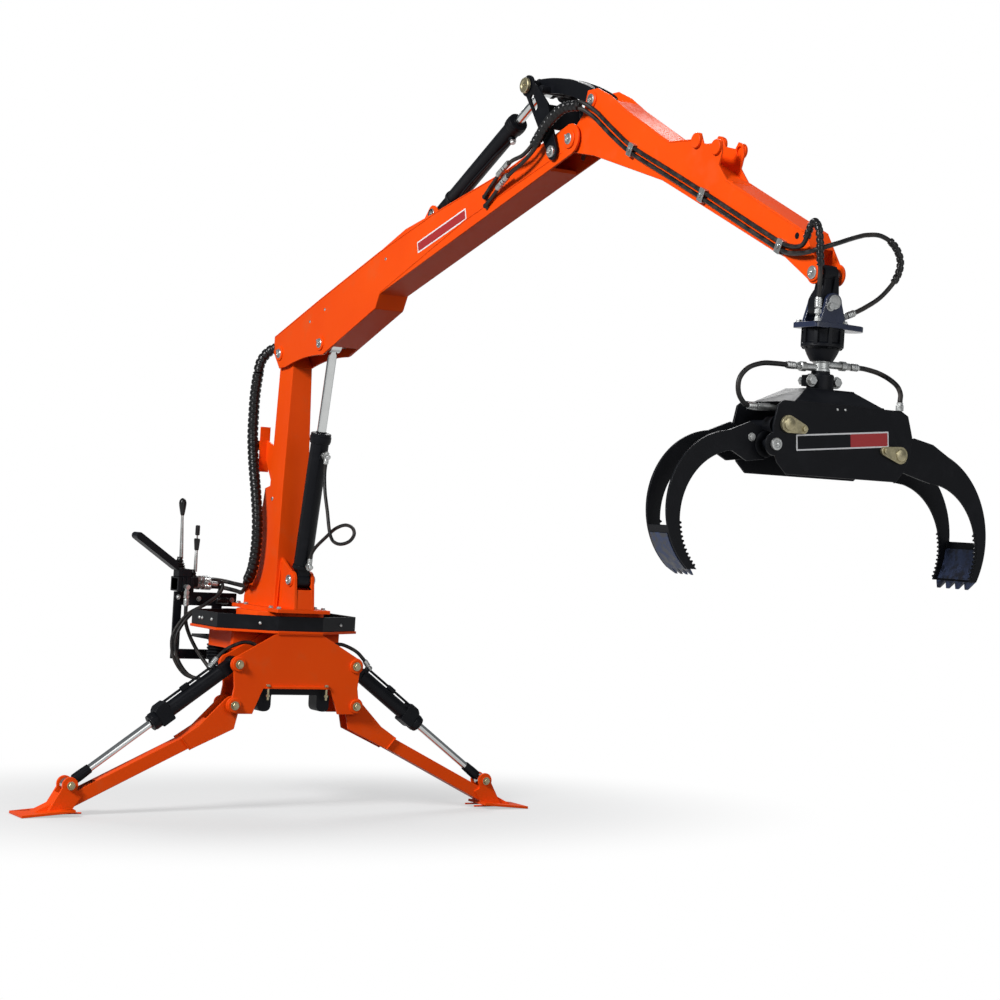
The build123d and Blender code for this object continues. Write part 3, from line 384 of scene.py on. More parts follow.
def slab(outline, origin, across, up, thick):
    """Flat part: an outline in the plane of two directions, given thickness square to both."""
    outline = np.array(outline, float)
    across, up = np.array(across, float), np.array(up, float)
    face = np.array(origin, float) + outline[:, :1] * across + outline[:, 1:] * up
    out = np.cross(across, up) * thick
    return surface(np.stack([face, face + out]))


def block(low, high):
    """Rectangular part between two corners."""
    low, high = np.array(low, float), np.array(high, float)
    outline = [(low[0], low[1]), (high[0], low[1]), (high[0], high[1]), (low[0], high[1])]
    return slab(outline, (0, 0, low[2]), RIGHT, BACK, high[2] - low[2])


def joined(parts):
    """Several parts as one."""
    starts = np.cumsum([0] + [len(part[0]) for part in parts])
    faces = [[spot + start for spot in face] for part, start in zip(parts, starts) for face in part[1]]
    return np.concatenate([part[0] for part in parts]), faces, np.concatenate([part[2] for part in parts])


def make(name, body, parts, paint, edge=0.0, nodes=()):
    """Object from parts in mm, closed shells facing outwards."""
    points, faces, run = joined(parts)
    mesh = bpy.data.meshes.new(name)
    mesh.from_pydata((points * MM).tolist(), [], faces)
    mesh.uv_layers.new(name="run").data.foreach_set("uv", run.ravel())
    work = bmesh.new()
    work.from_mesh(mesh)
    bmesh.ops.recalc_face_normals(work, faces=work.faces)
    work.to_mesh(mesh)
    work.free()
    thing = bpy.data.objects.new(name, mesh)
    bpy.context.scene.collection.objects.link(thing)
    finish_mesh(thing, body, paint, edge)
    if nodes:
        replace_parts(thing, *nodes)
    return thing


def bolt(origin, axis, size):
    """Hex bolt head on a washer, size is the thread in mm."""
    flat = 0.87 * size
    head = [(0.2 * size, 0), (0.2 * size, flat), (0.75 * size, flat), (0.85 * size, 0.86 * flat),
            (0.85 * size, 0)]
    washer = [(0, 0), (0, 1.1 * size), (0.2 * size, 1.1 * size), (0.2 * size, 0)]
    return [turned(origin, axis, washer, 20), turned(origin, axis, head, 6)]


def weld(points, size=3.2):
    """Weld bead along straight runs: a round bead whose radius swells with each ripple."""
    points = np.array(points, float)
    parts = []
    for start, end in zip(points, points[1:]):
        length = np.linalg.norm(end - start)
        run = np.linspace(0, length, max(3, int(length / 2.2)))
        first, second, axis = basis(end - start)
        swell = size * (1 + 0.16 * np.sin(run / 5.2 * math.tau))
        swell[[0, -1]] *= 0.5
        turn = np.arange(8) / 8 * math.tau
        ring = np.cos(turn)[:, None] * first + np.sin(turn)[:, None] * second
        parts.append(surface(start + run[:, None, None] * axis + swell[:, None, None] * ring[None]))
    return parts


for node in ("base_front_plate", "base_rear_plate", "pedestal", "deck_plate"):
    dress(node, ORANGE, 2.0)
repaint(["base_pins"], YELLOW_ZINC)

front_face = -184
rear_face = -72
pin_spots = ((244, 113), (253, -39), (-244, 113), (-253, -39))
bosses = []
bolts = []
for x, z in pin_spots:
    for face, out in ((front_face, -1), (rear_face + 12, 1)):
        boss = [(0, 0), (0, 27), (4.5, 27), (6, 25), (6, 0)]
        bosses.append(turned((x, face, z), (0, out, 0), boss, 36))
        bolts += bolt((x, face + out * 6, z), (0, out, 0), 15)
lip_low, lip_high = 25, 34
bosses.append(block((-128, front_face - 9, lip_low), (128, front_face, lip_high)))
seams = weld([(-93, front_face - 1, 229), (93, front_face - 1, 229)], 4)
seams += weld([(-222, -60, 160), (-222, -60, 228)]) + weld([(222, -60, 160), (222, -60, 228)])
make("base_bosses", "base", bosses, ORANGE, 1.2)
make("base_welds", "base", seams, ORANGE)
for x in (-121, 121):
    bolts += bolt((x, front_face - 4.5, lip_high), UP, 9)
    bolts += [rod((x, front_face - 4.5, lip_low), DOWN, 4.5, 42, 12),
              rod((x, front_face - 4.5, lip_low - 22), DOWN, 8, 8, 6)]
make("base_bolts", "base", bolts, YELLOW_ZINC, 0.6)

jaw = rounded([(-138, 23.5), (-138, 2), (-148, 0), (-148, -62), (-95, -62), (-95, 0), (95, 0), (95, -62),
               (148, -62), (148, 0), (138, 2), (138, 23.5)], [2, 2, 2, 20, 26, 5, 5, 26, 20, 2, 2, 2])
saddle_start = front_face + 20
beam = rounded([(-138, 23.5), (-138, 2), (-148, 0), (-148, -4), (148, -4), (148, 0), (138, 2), (138, 23.5)],
               2)
make("saddle", "base", [slab(jaw, (0, saddle_start, 0), RIGHT, UP, -70),
                        slab(beam, (0, saddle_start + 70, 0), RIGHT, UP, -180)], BLACK, 1.6,
     ["saddle_clamp"])

# Deck rail: a black flat bar bent round the deck and held by small dome bolts.
# The slew gear and its motor stand inside and under it: a toothed ring, and a finned black housing.
ZINC = plated("bright_zinc", (0.3, 0.31, 0.31, 1), (0.6, 0.61, 0.6, 1))
SLOT_OF[ZINC] = "zinc"
dress("guard_ring", BLACK, 1.4)
dome = [(-1, 0), (-1, 7), (2, 6.6), (5, 4), (6, 0)]
rail_bolts = []
# place on the rail and the way the bolt faces
for spot, way in (((-290, 91, 268), LEFT), ((-290, 66, 268), LEFT), ((-290, -20, 268), LEFT),
                  ((-152, -150, 266), (-0.5, -0.87, 0)), ((200, -122, 264), (0.5, -0.87, 0)),
                  ((290, 60, 266), RIGHT), ((0, 280, 266), BACK), ((-190, 223, 266), (-0.5, 0.87, 0)),
                  ((190, 223, 266), (0.5, 0.87, 0))):
    rail_bolts.append(turned(spot, way, dome, 14))
make("rail_bolts", "base", rail_bolts, ZINC)

teeth = 66
turn = np.arange(teeth * 8) / (teeth * 8) * math.tau
tooth = np.clip(1.6 * np.sin(turn * teeth), -1, 1)
gear_rings = []
for height, lift in ((240, 0.96), (243, 1), (267, 1), (269.7, 0.96)):
    radius = (160.5 + 4 * tooth) * lift
    gear_rings.append(np.stack([radius * np.cos(turn), radius * np.sin(turn), np.full(turn.shape, height)],
                               -1))
make("gear_ring", "base", [surface(np.array(gear_rings))], BLACK, 0, ["slew_gear"])

fins = [(0, 0), (0, 34), (3, 38), (18, 38), (20, 44)]
for step in range(5):
    fins += [(24 + 12 * step, 46), (27 + 12 * step, 48), (31 + 12 * step, 48), (33 + 12 * step, 41)]
fins += [(96, 44), (98, 47.5), (112, 47.5), (116, 40), (149.5, 40), (149.5, 0)]
motor = [turned((-150, 206, 80), UP, fins, 36), block((-196, 198, 120), (-150, 214, 134))]
make("motor_housing", "base", motor, BLACK, 0.8, ["slew_motor"])
band = [rod((-150, 206, 176), UP, 48.6, 5, 36)]
band += [part for x in (-176, -124) for part in bolt((x, 180, 79), DOWN, 8)]
make("motor_band", "base", band, ZINC, 0.5)

# Outriggers: a square tube between two flame-cut cheeks and a foot plate with ribs, welded, painted orange.
# Each is held out by its own black ram with a chromed rod, a welded oil pipe and a gland nut.


def chrome():
    """Hard chrome: bright, with hair-fine grinding lines."""
    coat = Finish("hard_chrome")
    line = coat.noise(0.0012, 2, (1, 1, 0.02))
    stain = coat.noise(0.05, 4)
    tone = coat.blend(stain, (0.46, 0.47, 0.47, 1), (0.62, 0.63, 0.62, 1))
    return coat.set(Base_Color=tone, Metallic=1.0, Roughness=0.12 + 0.12 * stain,
                    Normal=coat.relief(line, 0.00002))


CHROME = chrome()
SLOT_OF[CHROME] = "hard_chrome"
leg_y = -128
foot_pin = np.array((862.0, -331.0))
upper_pin = np.array((244.0, 113.0))
lean = (foot_pin - upper_pin) / np.linalg.norm(foot_pin - upper_pin)
above_ram = np.array((-lean[1], lean[0]))
for side, word in ((1, "right"), (-1, "left")):
    dress("leg_" + word, ORANGE, 1.6)
    dress("leg_barrel_" + word, BLACK, 1.2)
    repaint(["leg_rod_" + word], CHROME)

    def beside(along, out):
        """Point along the leg's ram and out above it, in mm."""
        spot = upper_pin + lean * along + above_ram * out
        return side * spot[0], leg_y, spot[1]

    down_ram = np.array((side * lean[0], 0, lean[1]))
    over_ram = np.array((side * above_ram[0], 0, above_ram[1]))
    gland = [(0, 0), (0, 32), (3, 33.5), (20, 33.5), (22, 31), (30, 31), (30, 17), (33, 17), (33, 0)]
    gland_part = turned(beside(356, 0), down_ram, gland, 32)
    port = [rod(beside(spot, 26), over_ram, 11, 12, 18) for spot in (72, 338)]
    port.append(rod(beside(76, 38), down_ram, 5, 262, 12))
    clip = slab(rounded([(-18, -8), (18, -8), (18, 8), (-18, 8)], 5), beside(205, 28), down_ram,
                BACK, 17 * side)
    make("leg_ram_trim_" + word, "leg_barrel_" + word, [gland_part, clip] + port, BLACK, 0.8)
    sleeve = [(0, 0), (0, 17.5), (40, 19), (66, 19), (70, 16), (70, 0)]
    start = beside(np.linalg.norm(foot_pin - upper_pin) - 98, 0)
    make("leg_rod_sleeve_" + word, "leg_rod_" + word, [turned(start, down_ram, sleeve)], BLACK, 0.5)
    pins = []
    for face, out in ((leg_y - 33, -1), (leg_y + 33, 1)):
        pins += bolt((side * foot_pin[0], face + out * 6, foot_pin[1]), (0, out, 0), 14)
    make("foot_pin_bolts_" + word, "leg_" + word, pins, YELLOW_ZINC, 0.5)
    beads = []
    for y in (leg_y - 34, leg_y + 34):
        beads += weld([(side * 815, y, -429), (side * 940, y, -429)], 3.5)
        beads += weld([(side * 447, y, -160), (side * 410, y, -205)], 3)
    make("leg_welds_" + word, "leg_" + word, beads, ORANGE)

# Column: a box of bent plate on a round flange, with the lift ram's fork welded to its front.
# A clamp of flat bar holds the hose bundle on its back.


def pin_end(origin, axis, radius, height=7):
    """Turned pin end with a chamfer, a dished middle and a grease nipple."""
    profile = [(-2, 0), (-2, radius), (height - 2, radius), (height, radius - 2), (height, 0.62 * radius),
               (height - 2.5, 0.52 * radius), (height - 2.5, 0)]
    nipple = [(height - 3, 0), (height - 3, 4), (height, 4), (height + 1, 2.4), (height + 4, 2.8),
              (height + 5, 0)]
    return [turned(origin, axis, profile), turned(origin, axis, nipple, 10)]


dress("column", ORANGE, 2.0)
dress("lift_bracket", ORANGE, 1.6)
dress("hose_bracket", ORANGE, 1.0)
foot_seams = weld([(-60, 40, 323), (-60, -68, 323)], 4) + weld([(60, 40, 323), (60, -68, 323)], 4)
foot_seams += weld([(-52, -71, 323), (-42, -71, 500)], 3) + weld([(52, -71, 323), (42, -71, 500)], 3)
make("column_welds", "column", foot_seams, ORANGE)
flange_bolts = []
for x in (-92, 92):
    for y in (-178, -110, 110, 178):
        flange_bolts += bolt((x, y, 322), UP, 10)
flange_bolts += bolt((-50.5, 10, 731), LEFT, 9)
flange_bolts += pin_end((-48, -158, 432), LEFT, 19, 6) + pin_end((48, -158, 432), RIGHT, 19, 6)
make("column_bolts", "column", flange_bolts, ZINC, 0.5)
rings = [turned((side * 42, -158, 432), (side, 0, 0), [(-1, 0), (-1, 26), (4, 26), (5, 24), (5, 0)],
                32) for side in (-1, 1)]
make("lift_foot_rings", "column", rings, ORANGE, 0.8)


# Column hoses: a thick bundle in a black spiral guard runs down the back of the column.
# At the top it bends into the boom's open end, and at the foot it fans out to the valve's crimped ends.


def rubber():
    """Hose rubber: matt, with the print of the wrap cloth run round it and grey scuffs."""
    coat = Finish("hose_rubber")
    run = coat.add("ShaderNodeUVMap", {"uv_map": "run"})
    print_wave = coat.add("ShaderNodeTexWave", {"bands_direction": "Y"},
                          {"Vector": run, "Scale": 90.0, "Distortion": 0.4}, "Fac")
    scuff = coat.noise(0.03, 5).above(0.55, 0.3)
    tone = coat.blend(scuff, colour(13, 13, 14), colour(48, 43, 40))
    return coat.set(Base_Color=tone, Roughness=0.42 + 0.2 * scuff, Specular_IOR_Level=0.3,
                    Normal=coat.relief(print_wave, 0.0001))


def moulded():
    """Moulded black plastic with a fine grain."""
    coat = Finish("black_plastic")
    grain = coat.noise(0.0014, 2)
    wear = coat.noise(0.04, 4).above(0.6, 0.3)
    tone = coat.blend(wear, colour(9, 9, 10), colour(26, 26, 28))
    return coat.set(Base_Color=tone, Roughness=0.3 + 0.1 * grain, Coat_Weight=0.12, Coat_Roughness=0.2,
                    Specular_IOR_Level=0.25, Normal=coat.relief(grain, 0.00015))


RUBBER = rubber()
PLASTIC = moulded()
SLOT_OF[RUBBER] = "hose_rubber"
SLOT_OF[PLASTIC] = "black_plastic"
HOSE = 6.5


def flowing(points, step=4.0):
    """Smooth line through the points: between each pair a cubic whose end slopes are half the
    difference of the points on either side."""
    points = np.array(points, float)
    ends = np.concatenate([2 * points[:1] - points[1:2], points, 2 * points[-1:] - points[-2:-1]])
    a, b, c, d = (ends[k:len(ends) - 3 + k] for k in range(4))
    count = max(4, int(np.linalg.norm(c - b, axis=1).max() / step))
    t = np.linspace(0, 1, count, endpoint=False)[None, :, None]
    b, slope_in, slope_out = b[:, None], (c - a)[:, None] / 2, (d - b)[:, None] / 2
    curve = b + slope_in * t + (3 * (c[:, None] - b) - 2 * slope_in - slope_out) * t ** 2
    curve = curve + (2 * (b - c[:, None]) + slope_in + slope_out) * t ** 3
    return np.concatenate([curve.reshape(-1, 3), points[-1:]])


def distances(path):
    """Distance of each point of a line from its start."""
    return np.concatenate([[0], np.cumsum(np.linalg.norm(np.diff(path, axis=0), axis=1))])


def tube(path, radius, sides=14, flat=RIGHT):
    """Round tube along a line. Rings stand square to it; radius is one value, one a ring, or one a point."""
    path = np.array(path, float)
    ahead = np.gradient(path, axis=0)
    ahead /= np.linalg.norm(ahead, axis=1)[:, None]
    first = np.cross(ahead, np.array(flat, float))
    first /= np.linalg.norm(first, axis=1)[:, None]
    second = np.cross(ahead, first)
    turn = np.arange(sides) / sides * math.tau
    radius = np.asarray(radius, float)
    radius = np.broadcast_to(radius[:, None] if radius.ndim == 1 else radius, (len(path), sides))
    ring = np.cos(turn)[None, :, None] * first[:, None] + np.sin(turn)[None, :, None] * second[:, None]
    return surface(path[:, None] + radius[..., None] * ring)


def wrapped(path, radius, pitch=20.0, rise=2.6, sides=26, flat=RIGHT):
    """Hoses in a spiral guard: round each turn of the spiral the radius stands up by rise over
    three quarters of the pitch and drops to the hoses between."""
    turn = np.arange(sides) / sides
    phase = (distances(path)[:, None] / pitch + turn[None]) % 1
    lift = np.clip(np.minimum(phase, 0.74 - phase) / 0.07, 0, 1)
    ends = np.clip(np.minimum(distances(path), distances(path)[-1] - distances(path)) / 6, 0.55, 1)[:, None]
    return tube(path, (radius + rise * lift) * ends, sides, flat)


def ferrule(origin, axis, radius):
    """Crimped hose end: a ribbed sleeve, a neck and a hex nut, from the hose outwards."""
    sleeve = [(-2, 0), (-2, 1.3 * radius)]
    for step in range(4):
        sleeve += [(6 * step, 1.36 * radius), (2 + 6 * step, 1.5 * radius), (4.5 + 6 * step, 1.5 * radius)]
    sleeve += [(25, 1.3 * radius), (26, 0.9 * radius), (44, 0.9 * radius), (44, 0)]
    nut = [(29, 0), (29, 1.55 * radius), (40, 1.55 * radius), (41, 1.3 * radius), (41, 0)]
    return [turned(origin, axis, sleeve, 20), turned(origin, axis, nut, 6)]


bundle = [(-97, 112, 1216), (-97, 130, 1130), (-97, 133, 1040), (-97, 128, 950), (-97, 104, 850),
          (-97, 70, 745), (-97, 44, 640), (-97, 42, 540), (-97, 62, 460), (-97, 100, 410)]
make("column_bundle", "column", [wrapped(flowing(bundle, 2.4), 17.5, 21, 3.4, 30)], PLASTIC, 0,
     ["column_hoses"])
top_bend = flowing([(-97, 108, 1204), (-96, 112, 1226), (-86, 110, 1262), (-62, 98, 1296), (-34, 70, 1314),
                    (-18, 30, 1318), (-14, -20, 1322)], 2.4)
top_hoses = make("column_top_bend", None, [wrapped(top_bend, 16.5, 21, 3.2, 28)], PLASTIC)
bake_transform(top_hoses)

fan = []
# depth and height at the valve, and where the hose meets the bundle
for depth, height, meet_x, meet_z in ((332, 400, -104, 424), (330, 374, -92, 412), (352, 402, -90, 430),
                                      (350, 376, -104, 418)):
    fan.append(tube(flowing([(-146, depth, height), (-118, depth, height), (-84, depth - 14, height - 4),
                             (-62, depth - 60, height - 10), (-62, 220, height - 12), (-76, 150, 396),
                             (meet_x, 108, 404), (meet_x, 90, meet_z)]), 7.8, 14, UP))
valve_hoses = make("valve_fan", None, fan, RUBBER, 0, ["valve_hoses"])
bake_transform(valve_hoses)

control = []
for shift in (0, 17):
    control.append(tube(flowing([(-150, 262 + shift, 388), (-130, 262 + shift, 396 - shift),
                                 (-128, 258 + shift, 372), (-148, 252 + shift, 345 - shift / 2),
                                 (-186, 250 + shift, 318 - shift / 2), (-255 - shift / 3, 250 + shift, 270),
                                 (-300 - shift / 2, 250 + shift, 212), (-314 - shift / 2, 250 + shift, 160),
                                 (-302 - shift / 2, 244 + shift, 95), (-262 - shift / 2, 225 + shift, 38),
                                 (-215, 180 + shift, 25), (-180, 148, 30 + shift)]), HOSE, 12, BACK))
make("control_hoses", "base", control, RUBBER)
control_ends = [part for shift in (0, 17) for part in ferrule((-150, 262 + shift, 388), (-1, 0, 0.1), HOSE)]
make("control_hose_ends", "base", control_ends, ZINC, 0.3)

# Lift ram: a black barrel on the column's fork and a chromed rod under the boom.
# A rubber hose links its two ports in a loose loop.
dress("lift_barrel", BLACK, 1.2)
repaint(["lift_rod"], CHROME)
lift_foot = np.array((0, -158.0, 432.0))
lift_way = np.array((0, -160.0, 881.0)) / math.hypot(160, 881)
lift_out = np.array((0, -lift_way[2], lift_way[1]))
gland = [(0, 0), (0, 38.5), (4, 40), (22, 40), (24, 37), (34, 37), (36, 20), (40, 20), (40, 0)]
foot_band = [(0, 0), (0, 36), (3, 37.5), (14, 37.5), (16, 34), (16, 0)]
lift_trim = [turned(lift_foot + lift_way * 528, lift_way, gland, 36),
             turned(lift_foot + lift_way * 44, lift_way, foot_band, 36)]
for along in (478, 72):
    lift_trim.append(rod(lift_foot + lift_way * along + lift_out * 30, lift_out, 15, 16, 20))
make("lift_gland", "lift_barrel", lift_trim, BLACK, 0.8)
lift_loop = flowing([(0, -311.4, 879.3), (0, -306, 832), (-2, -322, 766), (-4, -354, 694), (-6, -384, 624),
                     (-8, -420, 590), (-6, -474, 580), (2, -528, 592), (8, -552, 618), (11, -530, 642),
                     (12, -470, 650), (12, -394, 634), (10, -326, 600), (3, -266, 562), (0, -236, 532),
                     (0, -226.8, 503.2)], 3)
make("lift_loop", "lift_barrel", [tube(lift_loop, HOSE, 16)], RUBBER, 0, ["lift_hose"])
ends = ferrule((0, -310, 872), (0, -0.12, 1), HOSE) + ferrule((0, -229, 514), (0, 0.18, -1), HOSE)
for along, reach in ((486, 80), (64, 66)):
    ends.append(turned(lift_foot + lift_way * along + lift_out * 40, lift_out,
                       [(0, 0), (0, 9), (reach - 34, 9), (reach - 32, 7), (reach - 32, 0)], 18))
    ends.append(rod(lift_foot + lift_way * along + lift_out * 46, lift_out, 13, 10, 6))
make("lift_hose_ends", "lift_barrel", ends, ZINC, 0.4, ["lift_ports"])

# Boom: two cut cheeks with a top and a bottom plate folded into one box, welded and painted.
# Pins go through welded rings and are kept by small plates; a blank reflective strip marks the side.
dress("boom", ORANGE, 2.2)
repaint(["boom_pins"], ZINC)
rings, pins = [], []
keeper_turn = 0.6
# reach, height, half width at the pin, radius of the ring
for reach, height, half, ring in ((-19, 1285, 56, 27), (318, 1313, 56, 27), (1941, 1890, 56, 30)):
    for side in (-1, 1):
        rings.append(turned((side * half, -reach, height), (side, 0, 0),
                            [(-1, 0), (-1, ring), (4, ring), (5.5, ring - 2), (5.5, 0)], 36))
        pins += pin_end((side * (half + 2), -reach, height), (side, 0, 0), 18, 7)
        spot = (side * (half + 3), -reach + 20 * math.cos(keeper_turn), height + 20 * math.sin(keeper_turn))
        pins += [turned(spot, (side, 0, 0), [(0, 0), (0, 4.5), (5, 4.5), (6, 3), (6, 0)], 6)]
for side in (-1, 1):
    pins += pin_end((side * 34, -1062, 1733), (side, 0, 0), 18, 6)
    pins += pin_end((side * 70, -1863, 1857), (side, 0, 0), 19, 9)
for reach, height in ((339, 1437), (222, 1397), (789, 1594)):
    pins += [turned((side * 56, -reach, height), (side, 0, 0), [(-1, 0), (-1, 6), (2, 5), (3, 0)],
                    12) for side in (-1, 1)]
make("boom_rings", "boom", rings, ORANGE, 0.8)
make("boom_pin_ends", "boom", pins, ZINC, 0.3)
under = [(1900, 1853), (1330, 1688), (759, 1478), (730, 1424), (345, 1274)]
over = [(-70, 1349), (287, 1472), (740, 1621), (1133, 1731), (1580, 1829), (1850, 1910)]
seams = []
for line in (under, over):
    for side in (-1, 1):
        seams += weld([(side * 55.5, -reach, height) for reach, height in line], 2.6)
for side in (-1, 1):
    seams += weld([(side * 30, -992, 1704), (side * 30, -1122, 1720)], 3)
make("boom_welds", "boom", seams, ORANGE)
strip_way = np.array((0, -1404 + 993, 1699 - 1584 + 4)) / math.hypot(411, 119)
strip_up = np.array((0, -strip_way[2], strip_way[1])) * -1
strip = Finish("reflective_strip")
glints = strip.noise(0.0016, 1)
strip.set(Base_Color=strip.blend(glints, colour(150, 22, 26), colour(178, 34, 36)),
          Roughness=0.35 + 0.2 * glints, Coat_Weight=0.4)
border = Finish("reflective_border")
glints = border.noise(0.0016, 1)
border.set(Base_Color=border.blend(glints, colour(214, 214, 216), colour(236, 236, 238)),
           Roughness=0.4 + 0.2 * glints)
SLOT_OF[strip.material] = SLOT_OF[border.material] = "orange_paint"
label_outline = rounded([(0, 0), (330, 0), (330, 40), (0, 40)], 3)
inner_outline = rounded([(5, 5), (325, 5), (325, 35), (5, 35)], 2)
label_foot = np.array((-56.0, -1020.0, 1598.0))
make("strip_border", "boom", [slab(label_outline, label_foot, strip_way, strip_up, 0.5)], border.material)
make("strip_field", "boom", [slab(inner_outline, label_foot - np.array((0.3, 0, 0)), strip_way, strip_up,
                                  0.5)], strip.material)

# Elbow: two black rocker plates and a curved link of flame-cut steel pull the stick up.
# A ram on top of the boom drives them, and zinc-plated caps hold its pin between the plates.
dress("rocker", BLACK, 1.4)
dress("upper_link", BLACK, 1.4)
dress("stick_barrel", BLACK, 1.2)
repaint(["stick_rod"], CHROME)
caps = []
for side in (-1, 1):
    caps += pin_end((side * 76, -1696, 2084), (side, 0, 0), 25, 9)
make("rocker_caps", "rocker", caps, YELLOW_ZINC, 0.3)
tie = [rod((-62, -1762, 2066), RIGHT, 13, 124, 20)]
make("rocker_tie", "rocker", tie, BLACK, 0.8)
lug = np.array((0, -1062.0, 1733.0))
ram_way = np.array((0, -(1696 - 1062.0), 2084 - 1733.0)) / math.hypot(634, 351)
ram_up = np.array((0, ram_way[2], -ram_way[1]))
gland = [(0, 0), (0, 33), (4, 34.5), (20, 34.5), (22, 32), (30, 32), (32, 18), (36, 18), (36, 0)]
rear_band = [(0, 0), (0, 31), (3, 32), (12, 32), (14, 30), (14, 0)]
ram_trim = [turned(lug + ram_way * 516, ram_way, gland, 32),
            turned(lug + ram_way * 90, ram_way, rear_band, 32)]
for along in (120, 490):
    ram_trim.append(rod(lug + ram_way * along - ram_up * 24, -ram_up, 12, 16, 18))
make("stick_ram_gland", "stick_barrel", ram_trim, BLACK, 0.8)
# along the ram, out below it, and sideways
pipe_spots = ((490, 42, -10), (440, 44, -18), (380, 40, -20), (200, 36, -20), (132, 40, -10))
ram_pipe = flowing([lug + ram_way * along - ram_up * out + (x, 0, 0) for along, out, x in pipe_spots])
make("stick_ram_pipe", "stick_barrel", [tube(ram_pipe, 5, 12)], BLACK)
ram_unions = []
for along in (490, 120):
    ram_unions += bolt(lug + ram_way * along - ram_up * 38, -ram_up, 11)
make("stick_ram_unions", "stick_barrel", ram_unions, ZINC, 0.3)

# Stick: a tapered box of welded plate with two ears on top, a fork at the root and one at the tip.
# Its pins go through welded rings, as on the boom, and the seams of its side plates show.
dress("stick", ORANGE, 2.0)
repaint(["stick_pins"], ZINC)
stick_pins, stick_rings = [], []
for reach, height in ((2035, 2001), (3151, 1406)):
    for side in (-1, 1):
        stick_rings.append(turned((side * 42, -reach, height), (side, 0, 0),
                                  [(-1, 0), (-1, 24), (4, 24), (5.5, 22), (5.5, 0)], 32))
        stick_pins += pin_end((side * 44, -reach, height), (side, 0, 0), 18, 8)
for reach, height in ((2593, 1815), (2690, 1786)):
    for side in (-1, 1):
        stick_rings.append(turned((side * 42, -reach, height), (side, 0, 0),
                                  [(-1, 13.5), (-1, 22), (7, 22), (8.5, 20), (8.5, 13.5)], 32))
# Black discs on the stick's sides are painted shade, put where the inside of two holes would be dark.
hole_shade_discs = [rod((side * 42.2, -3071, 1509), (side, 0, 0), 9, 0.4, 20) for side in (-1, 1)]
make("stick_rings", "stick", stick_rings, ORANGE, 0.6)
make("stick_pin_ends", "stick", stick_pins, ZINC, 0.3)
make("stick_hole_painted_shade", "stick", hole_shade_discs, BLACK)
seams = []
stick_seams = (((2213, 1951), (2455, 1826), (2570, 1820)), ((2737, 1690), (3098, 1519)),
               ((2057, 1831), (2433, 1719), (2618, 1637), (2988, 1471)))
for side in (-1, 1):
    for seam in stick_seams:
        seams += weld([(side * 41.5, -reach, height) for reach, height in seam], 2.4)
make("stick_welds", "stick", seams, ORANGE)

# Boom hoses: two rubber hoses leave unions on the boom's side, loop over the elbow in a spiral guard and
# follow the stick under three clamps; a second pair does the same on the far side.
near_high = [(-66, -1461, 1752), (-66, -1515, 1794), (-78, -1590, 1828), (-90, -1662, 1846),
             (-92, -1732, 1858), (-92, -1787, 1888), (-92, -1842, 1937), (-92, -1889, 1967),
             (-86, -1946, 1990), (-72, -2016, 1992), (-56, -2066, 1966), (-49, -2110, 1934),
             (-48.8, -2168, 1896), (-48.8, -2278, 1830), (-48.8, -2460, 1748), (-48.8, -2649, 1662),
             (-48.8, -2840, 1573), (-48.8, -3015, 1492)]
near_low = [(-66, -1470, 1722), (-66, -1520, 1752), (-78, -1590, 1786), (-90, -1660, 1808),
            (-92, -1736, 1836), (-92, -1796, 1870), (-92, -1852, 1920), (-92, -1900, 1950),
            (-86, -1950, 1972), (-72, -2012, 1973), (-56, -2056, 1950), (-49, -2100, 1918),
            (-48.8, -2160, 1878), (-48.8, -2270, 1814), (-48.8, -2452, 1732), (-48.8, -2641, 1646),
            (-48.8, -2832, 1557), (-48.8, -3007, 1476)]
hose_lines = [tube(flowing(line, 5), HOSE, 14) for line in (near_high, near_low)]
far_high = [(-x, y, z) for x, y, z in near_high]
far_low = [(-x, y, z) for x, y, z in near_low]
hose_lines += [tube(flowing(line, 5), HOSE, 12) for line in (far_high, far_low)]
elbow_hoses = make("elbow_hoses", None, hose_lines, RUBBER, 0, ["boom_hoses", "stick_hoses"])
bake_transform(elbow_hoses)
middle = (np.array(near_high) + np.array(near_low)) / 2
guards = []
for side in (1, -1):
    line = flowing(middle[5:10] * (side, 1, 1), 2.2)
    guards.append(wrapped(line, 14.5, 19, 2.6, 26))
elbow_guard = make("elbow_guard", None, guards, PLASTIC)
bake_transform(elbow_guard)
unions, grommets = [], []
for side in (1, -1):
    for line in (near_high, near_low):
        fine_line = flowing(line, 5) * (side, 1, 1)
        index = int(np.argmin(abs(fine_line[:, 1] + 1592)))
        way = fine_line[index + 1] - fine_line[index]
        way = way / np.linalg.norm(way)
        unions += ferrule(fine_line[index] - way * 44, way, HOSE)
        unions += ferrule(fine_line[index] + way * 44, -way, HOSE)
        mouth = fine_line[0] * (0, 1, 1) + (side * line[0][0] / 66 * 56, 0, 0)
        grommet = [(-1, 0), (-1, 11), (3, 11), (8, 9), (13, 8), (15, 6), (15, 0)]
        grommets.append(turned(mouth, (-side, 0, 0), grommet, 22))
make("boom_unions", "boom", unions, ZINC, 0.3)
make("boom_grommets", "boom", grommets, PLASTIC, 0.5, ["boom_ports"])
clamps = []
clamp_bolts = []
